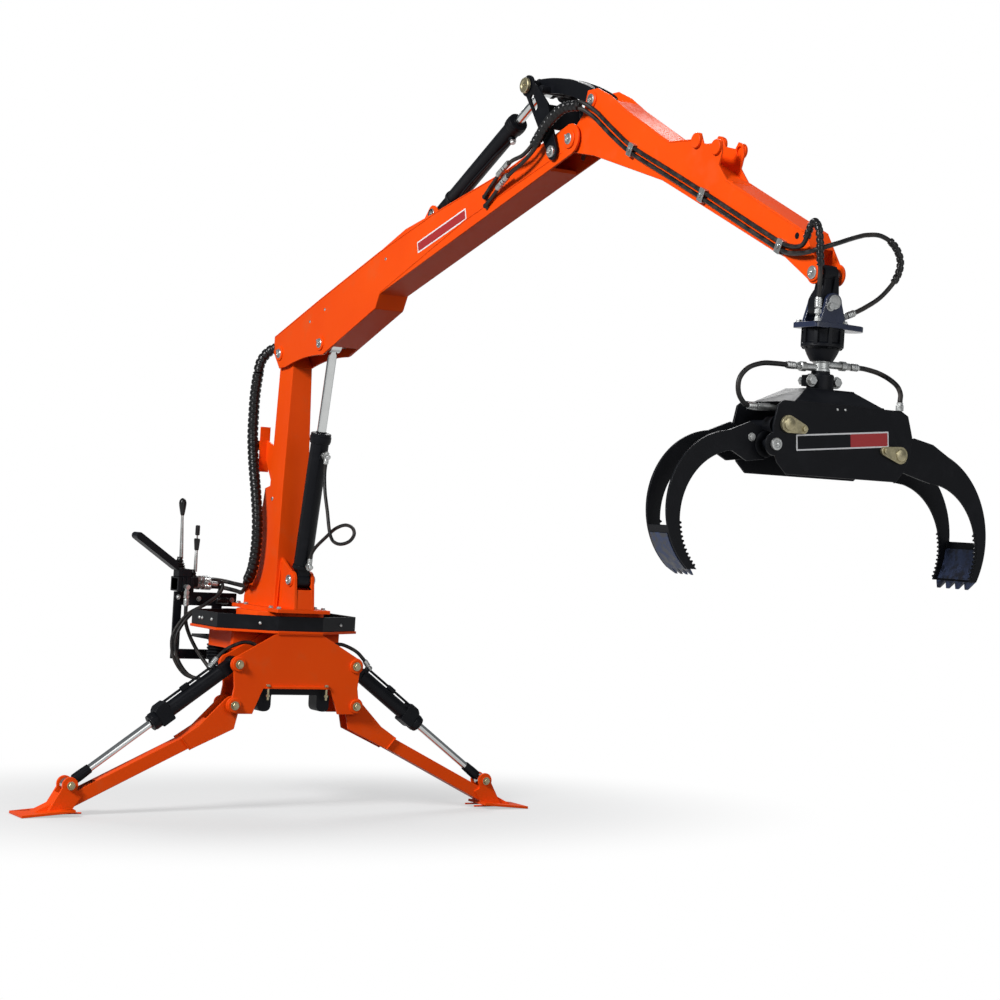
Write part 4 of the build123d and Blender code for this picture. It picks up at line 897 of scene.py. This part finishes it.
for y, z in ((-2274, 1822), (-2645, 1654), (-3011, 1484)):
    across = np.array((0, -0.906, -0.423))
    up = np.array((0, -0.423, 0.906))
    for side in (-1, 1):
        plate = rounded([(-13, -20), (13, -20), (13, 20), (-13, 20)], 5)
        top = np.array((side * 42, y, z))
        clamps.append(slab(plate, top + (side * 13.5, 0, 0), across, up, 2.5 * -side))
        for edge in (-19, 16):
            rim = rounded([(-13, edge), (13, edge), (13, edge + 3), (-13, edge + 3)], 0.8)
            clamps.append(slab(rim, top, across, up, 14 * -side))
        clamp_bolts += bolt(top + (side * 15, 0, 0), (side, 0, 0), 8)
make("hose_clamps", "stick", clamps, ZINC, 0.5)
make("hose_clamp_bolts", "stick", clamp_bolts, ZINC, 0.3)

# Leg hoses: a short rubber hose leads from inside the base to the pipe of each leg's ram.
# The ram's black valve block is bolted round the end of its barrel.
for side, word in ((1, "right"), (-1, "left")):
    line = [(side * x, leg_y, z) for x, z in ((318, 118), (306, 134), (276, 162), (239, 181),
                                              (199, 192), (160, 184), (132, 160), (118, 132))]
    leg_hose = make("leg_hose_" + word, None, [tube(flowing(line), 7, 14, BACK)], RUBBER)
    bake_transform(leg_hose)
    down_ram = np.array((side * lean[0], 0, lean[1]))
    over_ram = np.array((side * above_ram[0], 0, above_ram[1]))
    spot = np.array((side * (upper_pin + lean * 330)[0], leg_y + 28, (upper_pin + lean * 330)[1]))
    shape = rounded([(-30, -34), (26, -34), (26, 30), (10, 42), (-30, 42)], 6)
    head = slab(shape, spot, down_ram, over_ram, 56 * side)
    make("leg_valve_block_" + word, "leg_barrel_" + word, [head], BLACK, 1.5)
    tip = np.array((side * 318, leg_y, 118.0))
    hose_end = ferrule(tip + (-side * 8, 0, 12), (side * 0.62, 0, -0.78), 7)
    make("leg_hose_end_" + word, "leg_barrel_" + word, hose_end, ZINC, 0.3)

# Tip hoses: past the last clamp the near pair droops, then one hose loops out to the right and one
# drops in front of the fork, both in spiral guards, to fittings on the rotator. The far pair drops behind.
# Each hose is made of two lengths that meet beside the hanger.
tip_y = -3151
right_loop = [(-48.8, -3007, 1476), (-54, -3050, 1464), (-60, -3098, 1458), (-62, -3146, 1458),
              (-58, -3180, 1464), (-36, -3200, 1474), (0, -3202, 1487), (40, -3188, 1500),
              (88, -3168, 1514), (128, -3154, 1524), (176, tip_y, 1528), (219, tip_y, 1513),
              (246, tip_y, 1484), (252, tip_y, 1450), (234, tip_y, 1410), (190, tip_y, 1364),
              (140, tip_y, 1332), (100, -3152, 1312)]
near_drop = [(-48.8, -3015, 1492), (-53, -3054, 1482), (-60, -3096, 1476), (-64, -3126, 1480),
             (-66, -3144, 1500), (-66, -3156, 1524), (-66, -3172, 1536), (-67, -3190, 1520),
             (-67, -3199, 1488), (-66, -3202, 1452), (-63, -3203, 1414), (-62, -3202, 1376),
             (-61, -3201, 1352), (-61, -3200, 1332)]
far_drops = [[(48.8, -3015, 1492), (51, -3052, 1468), (56, -3086, 1436), (58, -3104, 1396),
              (56, -3104, 1360), (54, -3103, 1340)],
             [(48.8, -3007, 1476), (51, -3040, 1450), (54, -3066, 1416), (50, -3084, 1374),
              (38, -3090, 1350), (28, -3092, 1334)]]
right_line, near_line = flowing(right_loop, 2.4), flowing(near_drop, 2.4)
tip_lines, rotator_lines = [], []
for line in (right_line, near_line, *(flowing(line, 4) for line in far_drops)):
    low = len(line) - int(np.argmax(line[::-1, 2] > 1396))
    tip_lines.append(tube(line[:low], HOSE, 14))
    rotator_lines.append(tube(line[low - 1:], HOSE, 14))
tip_hoses = make("tip_hoses", None, tip_lines, RUBBER)
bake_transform(tip_hoses)
rotator_hoses = make("rotator_hoses", None, rotator_lines, RUBBER)
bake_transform(rotator_hoses)
right_run, near_run = distances(right_line), distances(near_line)
right_part = right_line[np.searchsorted(right_run, 468):np.searchsorted(right_run, 612)]
near_part = near_line[np.searchsorted(near_run, 130):np.searchsorted(near_run, 322)]
tip_guard = make("tip_guard", None, [wrapped(right_part, 8, 17, 2.4, 24),
                                     wrapped(near_part, 8, 17, 2.4, 24)], PLASTIC)
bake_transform(tip_guard)

# Hanger: a black casting on the stick's tip pin, with drafted flanks and rounded edges.
# Its foot carries the cross pin. The hoses' crimped fittings stand on the rotator under it.
casting_rows = ((1404, 22, 19), (1382, 23, 19), (1364, 26, 20), (1352, 34, 21), (1338, 41, 22),
                (1318, 43, 22), (1302, 41, 21), (1296, 36, 16))
casting_rings = []
for height, half_x, half_y in casting_rows:
    corner = rounded([(-half_x, -half_y), (half_x, -half_y), (half_x, half_y), (-half_x, half_y)], 9, 6)
    casting_rings.append(np.column_stack([corner[:, 0], corner[:, 1] + tip_y,
                                          np.full(len(corner), height)]))
cross_pin = rod((0, tip_y + 44, 1330), FRONT, 19, 88)
eye = turned((-24, tip_y, 1406), RIGHT, [(0, 0), (0, 22), (2, 24), (46, 24), (48, 22), (48, 0)], 36)
cast_rib = rounded([(-6, 1398), (6, 1398), (13, 1310), (-13, 1310)], 4)
rib = [slab(cast_rib, (14, tip_y + 24 * way, 0), RIGHT, UP, -4 * way) for way in (1, -1)]
make("hanger_casting", "hanger", [surface(np.array(casting_rings)), eye] + rib, BLACK, 0, ["hanger"])
make("cross_pin", "hanger", [cross_pin], ZINC, 0.8)
fittings = ferrule((100, -3152, 1312), (-0.92, 0, -0.36), HOSE) + ferrule((-61, -3200, 1334), DOWN, HOSE)
fittings += ferrule((54, -3103, 1342), (-0.1, 0, -1), HOSE) + ferrule((28, -3092, 1336), DOWN, HOSE)
fittings += [turned((58, -3152, 1302), (-1, 0, -0.05), [(0, 0), (0, 9), (24, 9), (26, 7), (26, 0)], 16)]
make("rotator_fittings", "rotator", fittings, ZINC, 0.3)

# Rotator: a hydraulic motor in a ribbed black casting under a thick flange with two drafted lugs.
# A round lug of the flange takes the hose connections on the right.
lobe = np.linspace(-0.42 * math.pi, 0.42 * math.pi, 15)
hose_lug = [(84 + 40 * math.cos(t), 40 * math.sin(t)) for t in lobe]
flange_outline = [(-65, -50), (34, -50), *hose_lug, (34, 50), (-65, 50)]
flange_corner = [10, 16] + [2] * 15 + [16, 10]
parts = [slab(rounded(flange_outline, flange_corner), (0, tip_y, 1260), RIGHT, BACK, 15)]
arc = np.linspace(0, math.pi, 15)
lug_outline = [(44, 1272), *[(26 * math.cos(t), 1330 + 24 * math.sin(t)) for t in arc], (-44, 1272)]
for y in (tip_y - 40, tip_y + 28):
    parts.append(slab(lug_outline, (0, y, 0), RIGHT, UP, -12))
# The flange is black paint; its blue base colour is painted sheen, and the noise varies the painted sheen
# and the roughness.
blue = Finish("black_with_painted_sheen")
sheen = blue.noise(0.08, 4)
blue.set(Base_Color=blue.blend(sheen, colour(16, 22, 40), colour(30, 42, 74)), Roughness=0.28 + 0.1 * sheen,
         Coat_Weight=0.3, Normal=blue.relief(sheen, 0.0002))
SLOT_OF[blue.material] = "black_paint"
make("rotator_flange", "rotator", parts, blue.material, 1.6)
parts = []
motor_profile = [(0, 0), (0, 52), (6, 54), (10, 51), (38, 50), (42, 56), (50, 57), (52, 52), (56, 46),
                 (70, 40), (86, 31), (88, 29), (88, 0)]
parts.append(turned((0, tip_y, 1262), DOWN, motor_profile, 48))
for step in range(9):
    angle = (step + 0.3) / 9 * math.tau
    way = np.array((math.cos(angle), math.sin(angle), 0))
    side_way = np.array((-way[1], way[0], 0))
    rib_shape = rounded([(44, 1262), (57, 1262), (57, 1216), (52, 1206), (44, 1206)], 3)
    parts.append(slab(rib_shape, np.array((0, tip_y, 0)) - side_way * 5.5, way, UP, -11))
make("rotator_casting", "rotator", parts, BLACK, 1.4, ["rotator"])
lug_bolts = []
for x, y in ((-52, -38), (-52, 38), (66, 0), (40, -38), (40, 38)):
    lug_bolts += bolt((x, tip_y + y, 1275), UP, 9)
lug_bolts += bolt((-13, tip_y - 40, 1318), FRONT, 12)
lug_bolts += [turned((-61, -3200, 1274), UP, [(0, 0), (0, 9), (9, 9), (10, 7), (14, 7), (14, 0)], 6)]
make("rotator_bolts", "rotator", lug_bolts, ZINC, 0.4)

# Shaft: bright steel under the rotator, clamped in a black sleeve on the grapple by two cross bolts.
# Swivel ports on both sides feed the grapple's two hoses.
shaft_profile = [(0, 0), (0, 24), (18, 24), (20, 21), (34, 21), (36, 24), (48, 24), (48, 0)]
make("rotor_shaft", "grapple", [turned((0, tip_y, 1190), DOWN, shaft_profile, 40)], ZINC, 0.6,
     ["grapple_shaft"])
sleeve_profile = [(0, 0), (0, 36), (40, 36), (44, 33), (44, 25), (52, 25), (52, 0)]
sleeve_parts = [turned((0, tip_y, 1097), UP, sleeve_profile, 44)]
sleeve_parts += [block((-52, tip_y - 15, 1106), (-30, tip_y + 15, 1136)),
                 block((30, tip_y - 15, 1106), (52, tip_y + 15, 1136))]
make("clamp_sleeve", "grapple", sleeve_parts, BLACK, 2)
cross_bolts = []
for side in (-1, 1):
    cross_bolts += bolt((side * 42, tip_y - 14, 1121), FRONT, 15)
    cross_bolts += [rod((side * 42, tip_y + 15, 1121), BACK, 12, 12, 6)]
make("clamp_bolts", "grapple", cross_bolts, ZINC, 0.5)

# Grapple hoses: from each swivel port a short hose bows out and down into the grapple.
# Their crimped ends are zinc plated.
left_hose = [(-114, tip_y, 1157), (-150, tip_y, 1157), (-196, tip_y, 1154), (-240, tip_y, 1138),
             (-266, tip_y, 1108), (-266, tip_y, 1072), (-246, tip_y, 1046), (-226, tip_y, 1040)]
right_hose = [(124, tip_y, 1168), (150, -3152, 1167), (186, -3160, 1160), (208, -3180, 1146),
              (214, -3210, 1126), (206, -3235, 1104), (201, -3241, 1086), (201, -3241, 1079)]
make("grapple_hose_lines", "grapple", [tube(flowing(left_hose, 3), 6.8, 16, BACK),
                                       tube(flowing(right_hose, 3), 6.8, 16, (0.3, 1, 0))], RUBBER, 0,
     ["grapple_hoses"])
hose_ends = ferrule((-114, tip_y, 1157), RIGHT, 6.8) + ferrule((124, tip_y, 1168), LEFT, 6.8)
hose_ends += ferrule((-232, tip_y, 1041), (1, 0, -0.02), 6.8)
for side, height, reach in ((-1, 1157, 74), (1, 1168, 84)):
    hose_ends += [turned((side * 20, tip_y, height), (side, 0, 0),
                         [(0, 0), (0, 10), (reach - 40, 10), (reach - 40, 13), (reach - 24, 13),
                          (reach - 22, 9), (reach - 20, 0)], 18)]
hose_ends += [turned((201, -3241, 1058), UP, [(0, 0), (0, 11), (14, 11), (16, 9), (22, 9), (22, 0)], 6),
              turned((-190, tip_y, 1041), RIGHT, [(0, 0), (0, 10), (26, 10), (28, 8), (52, 8), (52, 0)],
                     18)]
make("grapple_hose_ends", "grapple", hose_ends, ZINC, 0.3, ["grapple_ports"])

# Grapple body: two thick plates under a folded hood, with the ram and the tines pinned between them.
# Pear-shaped zinc plates keep the pins, each with its own bolt; a blank plate marks the front.
dress("grapple_body", BLACK, 2.2)
dress("grapple_barrel", BLACK, 1.0)
repaint(["grapple_rod"], CHROME)


def pear(big, small, big_radius, small_radius):
    """Outline of a keeper plate: two arcs of different radius joined by their common tangents."""
    big, small = np.array(big, float), np.array(small, float)
    span = small - big
    length = np.linalg.norm(span)
    lean_angle = math.atan2(span[1], span[0])
    open_angle = math.acos((big_radius - small_radius) / length)
    round_big = lean_angle + np.linspace(open_angle, math.tau - open_angle, 22)
    round_small = lean_angle + np.linspace(-open_angle, open_angle, 12)
    first = big + big_radius * np.column_stack([np.cos(round_big), np.sin(round_big)])
    second = small + small_radius * np.column_stack([np.cos(round_small), np.sin(round_small)])
    return np.concatenate([first, second])


face_y = -3241
pivot_x, pivot_z = 208, 943
keepers, keeper_bolts, body_bolts = [], [], []
for big, small in (((-172, 997), (-122, 987)), ((208, 940), (154, 948))):
    keepers.append(slab(pear(big, small, 23, 12), (0, face_y, 0), RIGHT, UP, 9))
    keeper_bolts += [turned((big[0], face_y - 8, big[1]), FRONT,
                            [(0, 0), (0, 17), (4, 16), (6, 12), (6, 0)], 28)]
    keeper_bolts += bolt((small[0], face_y - 8, small[1]), FRONT, 9)
make("keeper_plates", "grapple", keepers, YELLOW_ZINC, 1.2)
make("keeper_bolts", "grapple", keeper_bolts, YELLOW_ZINC, 0.5)
body_bolts += pin_end((-pivot_x, face_y - 4, pivot_z), FRONT, 16, 7)
for x, z in ((-10, 1046), (16, 1047)):
    body_bolts += [turned((x, face_y, z), FRONT, [(-1, 0), (-1, 4), (2, 3), (3, 0)], 12)]
for x, z in ((-pivot_x, pivot_z), (pivot_x, pivot_z), (-150, 997)):
    body_bolts += pin_end((x, tip_y + 94, z), BACK, 16, 7)
make("grapple_bolts", "grapple", body_bolts, ZINC, 0.4)
plate_way = np.array((0.9956, 0, 0.0941))
plate_up = np.array((-0.0941, 0, 0.9956))
plate_foot = np.array((-138.0, face_y, 930.0))
make("plate_border", "grapple", [slab(rounded([(0, 0), (310, 0), (310, 42), (0, 42)], 3), plate_foot,
                                      plate_way, plate_up, 0.6)], border.material)
make("plate_field", "grapple", [slab(rounded([(180, 4), (306, 4), (306, 38), (180, 38)], 2),
                                     plate_foot - np.array((0, 0.3, 0)), plate_way, plate_up, 0.6)],
     strip.material)
make("plate_field_dark", "grapple", [slab(rounded([(4, 4), (180, 4), (180, 38), (4, 38)], 2),
                                          plate_foot - np.array((0, 0.3, 0)), plate_way, plate_up, 0.6)],
     BLACK)
hood_seams = weld([(-148, face_y + 1, 1058.5), (148, face_y + 1, 1058.5)],
                  2.6) + weld([(-80, -3196, 1097), (80, -3196, 1097)], 2.6)
make("grapple_welds", "grapple", hood_seams, BLACK)

# Tines: pairs of curved cut plates joined by a bent sheet at the tip, ground to four teeth.
# The inner edges are notched near the tips, so that a log doesn't slip out; paint is worn off there.
worn = Finish("worn_tip")
rub = worn.noise(0.02, 5).above(0.48, 0.25)
worn.set(Base_Color=worn.blend(rub, colour(22, 27, 42), colour(50, 62, 92)), Roughness=0.34 + 0.2 * rub,
         Metallic=0.3 * rub, Normal=worn.relief(rub, 0.0001))
SLOT_OF[worn.material] = "black_paint"
dress("tine_right", BLACK, 1.6)
dress("tine_left", BLACK, 1.6)
# side, name, half spacing, centre and radius of the outer arc, centre and radius of the inner arc
tine_rows = ((1, "right", 72, (306, 722), 243, (333, 690), 182),
             (-1, "left", 43, (303, 770), 202, (286, 746), 176))
for side, word, half, outer, outer_radius, inner, inner_radius in tine_rows:
    teeth_parts, notch_parts = [], []
    low = math.asin((612 - outer[1]) / outer_radius)
    high = math.asin((700 - outer[1]) / outer_radius)
    sweep = np.linspace(low, high, 12)
    ring_out = np.column_stack([outer[0] + (outer_radius + 2) * np.cos(sweep),
                                outer[1] + (outer_radius + 2) * np.sin(sweep)])
    ring_in = np.column_stack([outer[0] + (outer_radius - 13) * np.cos(sweep),
                               outer[1] + (outer_radius - 13) * np.sin(sweep)])
    outline = np.concatenate([ring_out, ring_in[::-1]])
    teeth_parts.append(slab(outline, (0, tip_y - half + 4.5, 0), (side, 0, 0), UP, -(2 * half - 9) * side))
    down = np.array((math.sin(low), -math.cos(low)))
    edge_out = np.array((outer[0] + (outer_radius + 1) * math.cos(low), 613.0))
    width = (2 * half + 4) / 4
    for step in range(4):
        y = tip_y - half - 2 + width * (step + 0.5)
        root = np.array((side * (edge_out[0] - 6), y, 612.0))
        tooth_rows = []
        for share, spread, thick in ((0, 0.46, 6.0), (0.5, 0.3, 4.6), (1, 0.14, 2.2)):
            spot = root + share * 24 * np.array((side * down[0], 0, down[1]))
            tooth_rows.append([spot + (0, -width * spread, 0) - (thick, 0, 0),
                               spot + (0, width * spread, 0) - (thick, 0, 0),
                               spot + (0, width * spread, 0) + (thick, 0, 0),
                               spot + (0, -width * spread, 0) + (thick, 0, 0)])
        teeth_parts.append(surface(np.array(tooth_rows)))
    make("tine_tip_" + word, "tine_" + word, teeth_parts, worn.material, 0.8)
    start = math.asin((622 - inner[1]) / inner_radius)
    for step in range(11):
        angle = start + step * 12 / inner_radius
        along = np.array((-math.sin(angle), math.cos(angle)))
        inward = -np.array((math.cos(angle), math.sin(angle)))
        middle = np.array(inner) + inner_radius * np.array((math.cos(angle), math.sin(angle))) - inward * 3
        shape = np.array([middle - along * 5.5, middle + along * 5.5, middle + along * 1 + inward * 8,
                          middle - along * 2.5 + inward * 8])
        for y in (-half, half):
            notch_parts.append(slab(shape, (0, tip_y + y - 4, 0), (side, 0, 0), UP, -8 * side))
    make("tine_notches_" + word, "tine_" + word, notch_parts, BLACK, 0.5)
    pivots = []
    for y, out in ((-half - 4, -1), (half + 4, 1)):
        pivots += [turned((side * pivot_x, tip_y + y, pivot_z), (0, out, 0),
                          [(-1, 17), (-1, 33), (3, 33), (4, 31), (4, 17)], 36)]
    if side < 0:
        make("tine_stop_bolt", "tine_left", bolt((-252, tip_y - 47, 958), FRONT, 10), ZINC, 0.4)
    make("tine_bosses_" + word, "tine_" + word, pivots, BLACK, 0.4)

# Controls: a stand of flat bar behind the deck carries the valve bank. Its black sections are bolted
# together, with crimped hose ends on the right and two levers in rubber boots on top.
dress("control_stand", BLACK, 1.2)
dress("hand_guard", BLACK, 2.2)
bank = [block((-298 + 17 * step, 292, 353), (-298 + 17 * step + 15.5, 368, 409)) for step in range(4)]
bank += [block((-298, 300, 357), (-232, 360, 405)), block((-294, 303, 409), (-240, 357, 440))]
boots = [turned((-282, 330, 440), UP, [(-1, 0), (-1, 24), (4, 24), (8, 20), (12, 23), (17, 18), (21, 20),
                                       (26, 14), (30, 16), (36, 11), (46, 10), (46, 0)], 26),
         turned((-222, 330, 409), UP, [(-1, 0), (-1, 13), (6, 13), (10, 10), (14, 12), (20, 9), (30, 8),
                                       (30, 0)], 22)]
bank.append(block((-240, 316, 372), (-204, 346, 410)))
make("bank_sections", "base", bank, BLACK, 2.2, ["valve_bank"])
make("lever_boots", "base", boots, PLASTIC)
levers = [turned((-276, 330, 478), (-0.035, 0, 1), [(0, 0), (0, 8), (60, 7), (150, 5.5), (176, 5.5),
                                                    (176, 0)], 18),
          turned((-214, 330, 430), UP, [(0, 0), (0, 7), (26, 7), (84, 5.5), (90, 3.2), (148, 3.2),
                                        (148, 0)], 18)]
make("lever_rods", "base", levers, ZINC, 0.3, ["control_levers"])
knobs = [turned((-281.5, 330, 646), (-0.035, 0, 1), [(0, 0), (0, 6.5), (6, 8.5), (20, 11), (38, 14),
                                                     (50, 14.5), (58, 12.5), (64, 8.5), (67, 4), (68, 0)],
                28), turned((-214, 330, 514), UP, [(0, 0), (0, 8), (4, 9.5), (36, 12.5), (44, 12.5),
                                                   (46, 10), (46, 0)], 8),
         turned((-214, 330, 572), UP, [(0, 0), (0, 7), (3, 9), (36, 9), (39, 7), (40, 0)], 22)]
make("lever_grips", "base", knobs, PLASTIC, 0.4)
ends = []
for depth, height in ((332, 400), (330, 374), (352, 402), (350, 376)):
    ends += ferrule((-148, depth, height), LEFT, 9.2)
    ends += [turned((-190, depth, height), LEFT, [(0, 0), (0, 10), (6, 10), (6, 14), (20, 14), (21, 12),
                                                  (42, 12), (42, 0)], 6)]
make("valve_hose_ends", "base", ends, ZINC, 0.3, ["valve_ports"])
drop = flowing([(-267, 278, 300), (-266, 278, 262), (-262, 276, 226), (-246, 268, 180), (-222, 250, 130),
                (-198, 216, 84), (-184, 176, 52), (-176, 144, 40)])
make("drain_hose", "base", [tube(drop, 7.4, 14, BACK)], RUBBER)
drop_end = ferrule((-267, 278, 300), UP, 7.6)
drop_end += [turned((-267, 278, 342), UP, [(0, 0), (0, 11), (14, 11), (16, 8), (34, 8), (34, 0)], 6),
             turned((-267, 276, 372), BACK, [(-10, 0), (-10, 9), (18, 9), (18, 0)], 16)]
make("drain_hose_end", "base", drop_end, ZINC, 0.3)
coupling = [(0, 0), (0, 12)]
for step in range(5):
    coupling += [(2 + 9 * step, 14), (7 + 9 * step, 14), (9 + 9 * step, 11.5)]
coupling += [(50, 12), (52, 9), (52, 0)]
make("ribbed_coupling", "base", [turned((-132, 300, 323), RIGHT, coupling, 24)], PLASTIC, 0.4)
stand_bolts = []
for x, z in ((-286, 330), (-120, 330), (-286, 112), (-120, 112), (-60, 326), (-200, 326)):
    stand_bolts += bolt((x, 312, z), FRONT, 9)
make("stand_bolts", "base", stand_bolts, ZINC, 0.4)
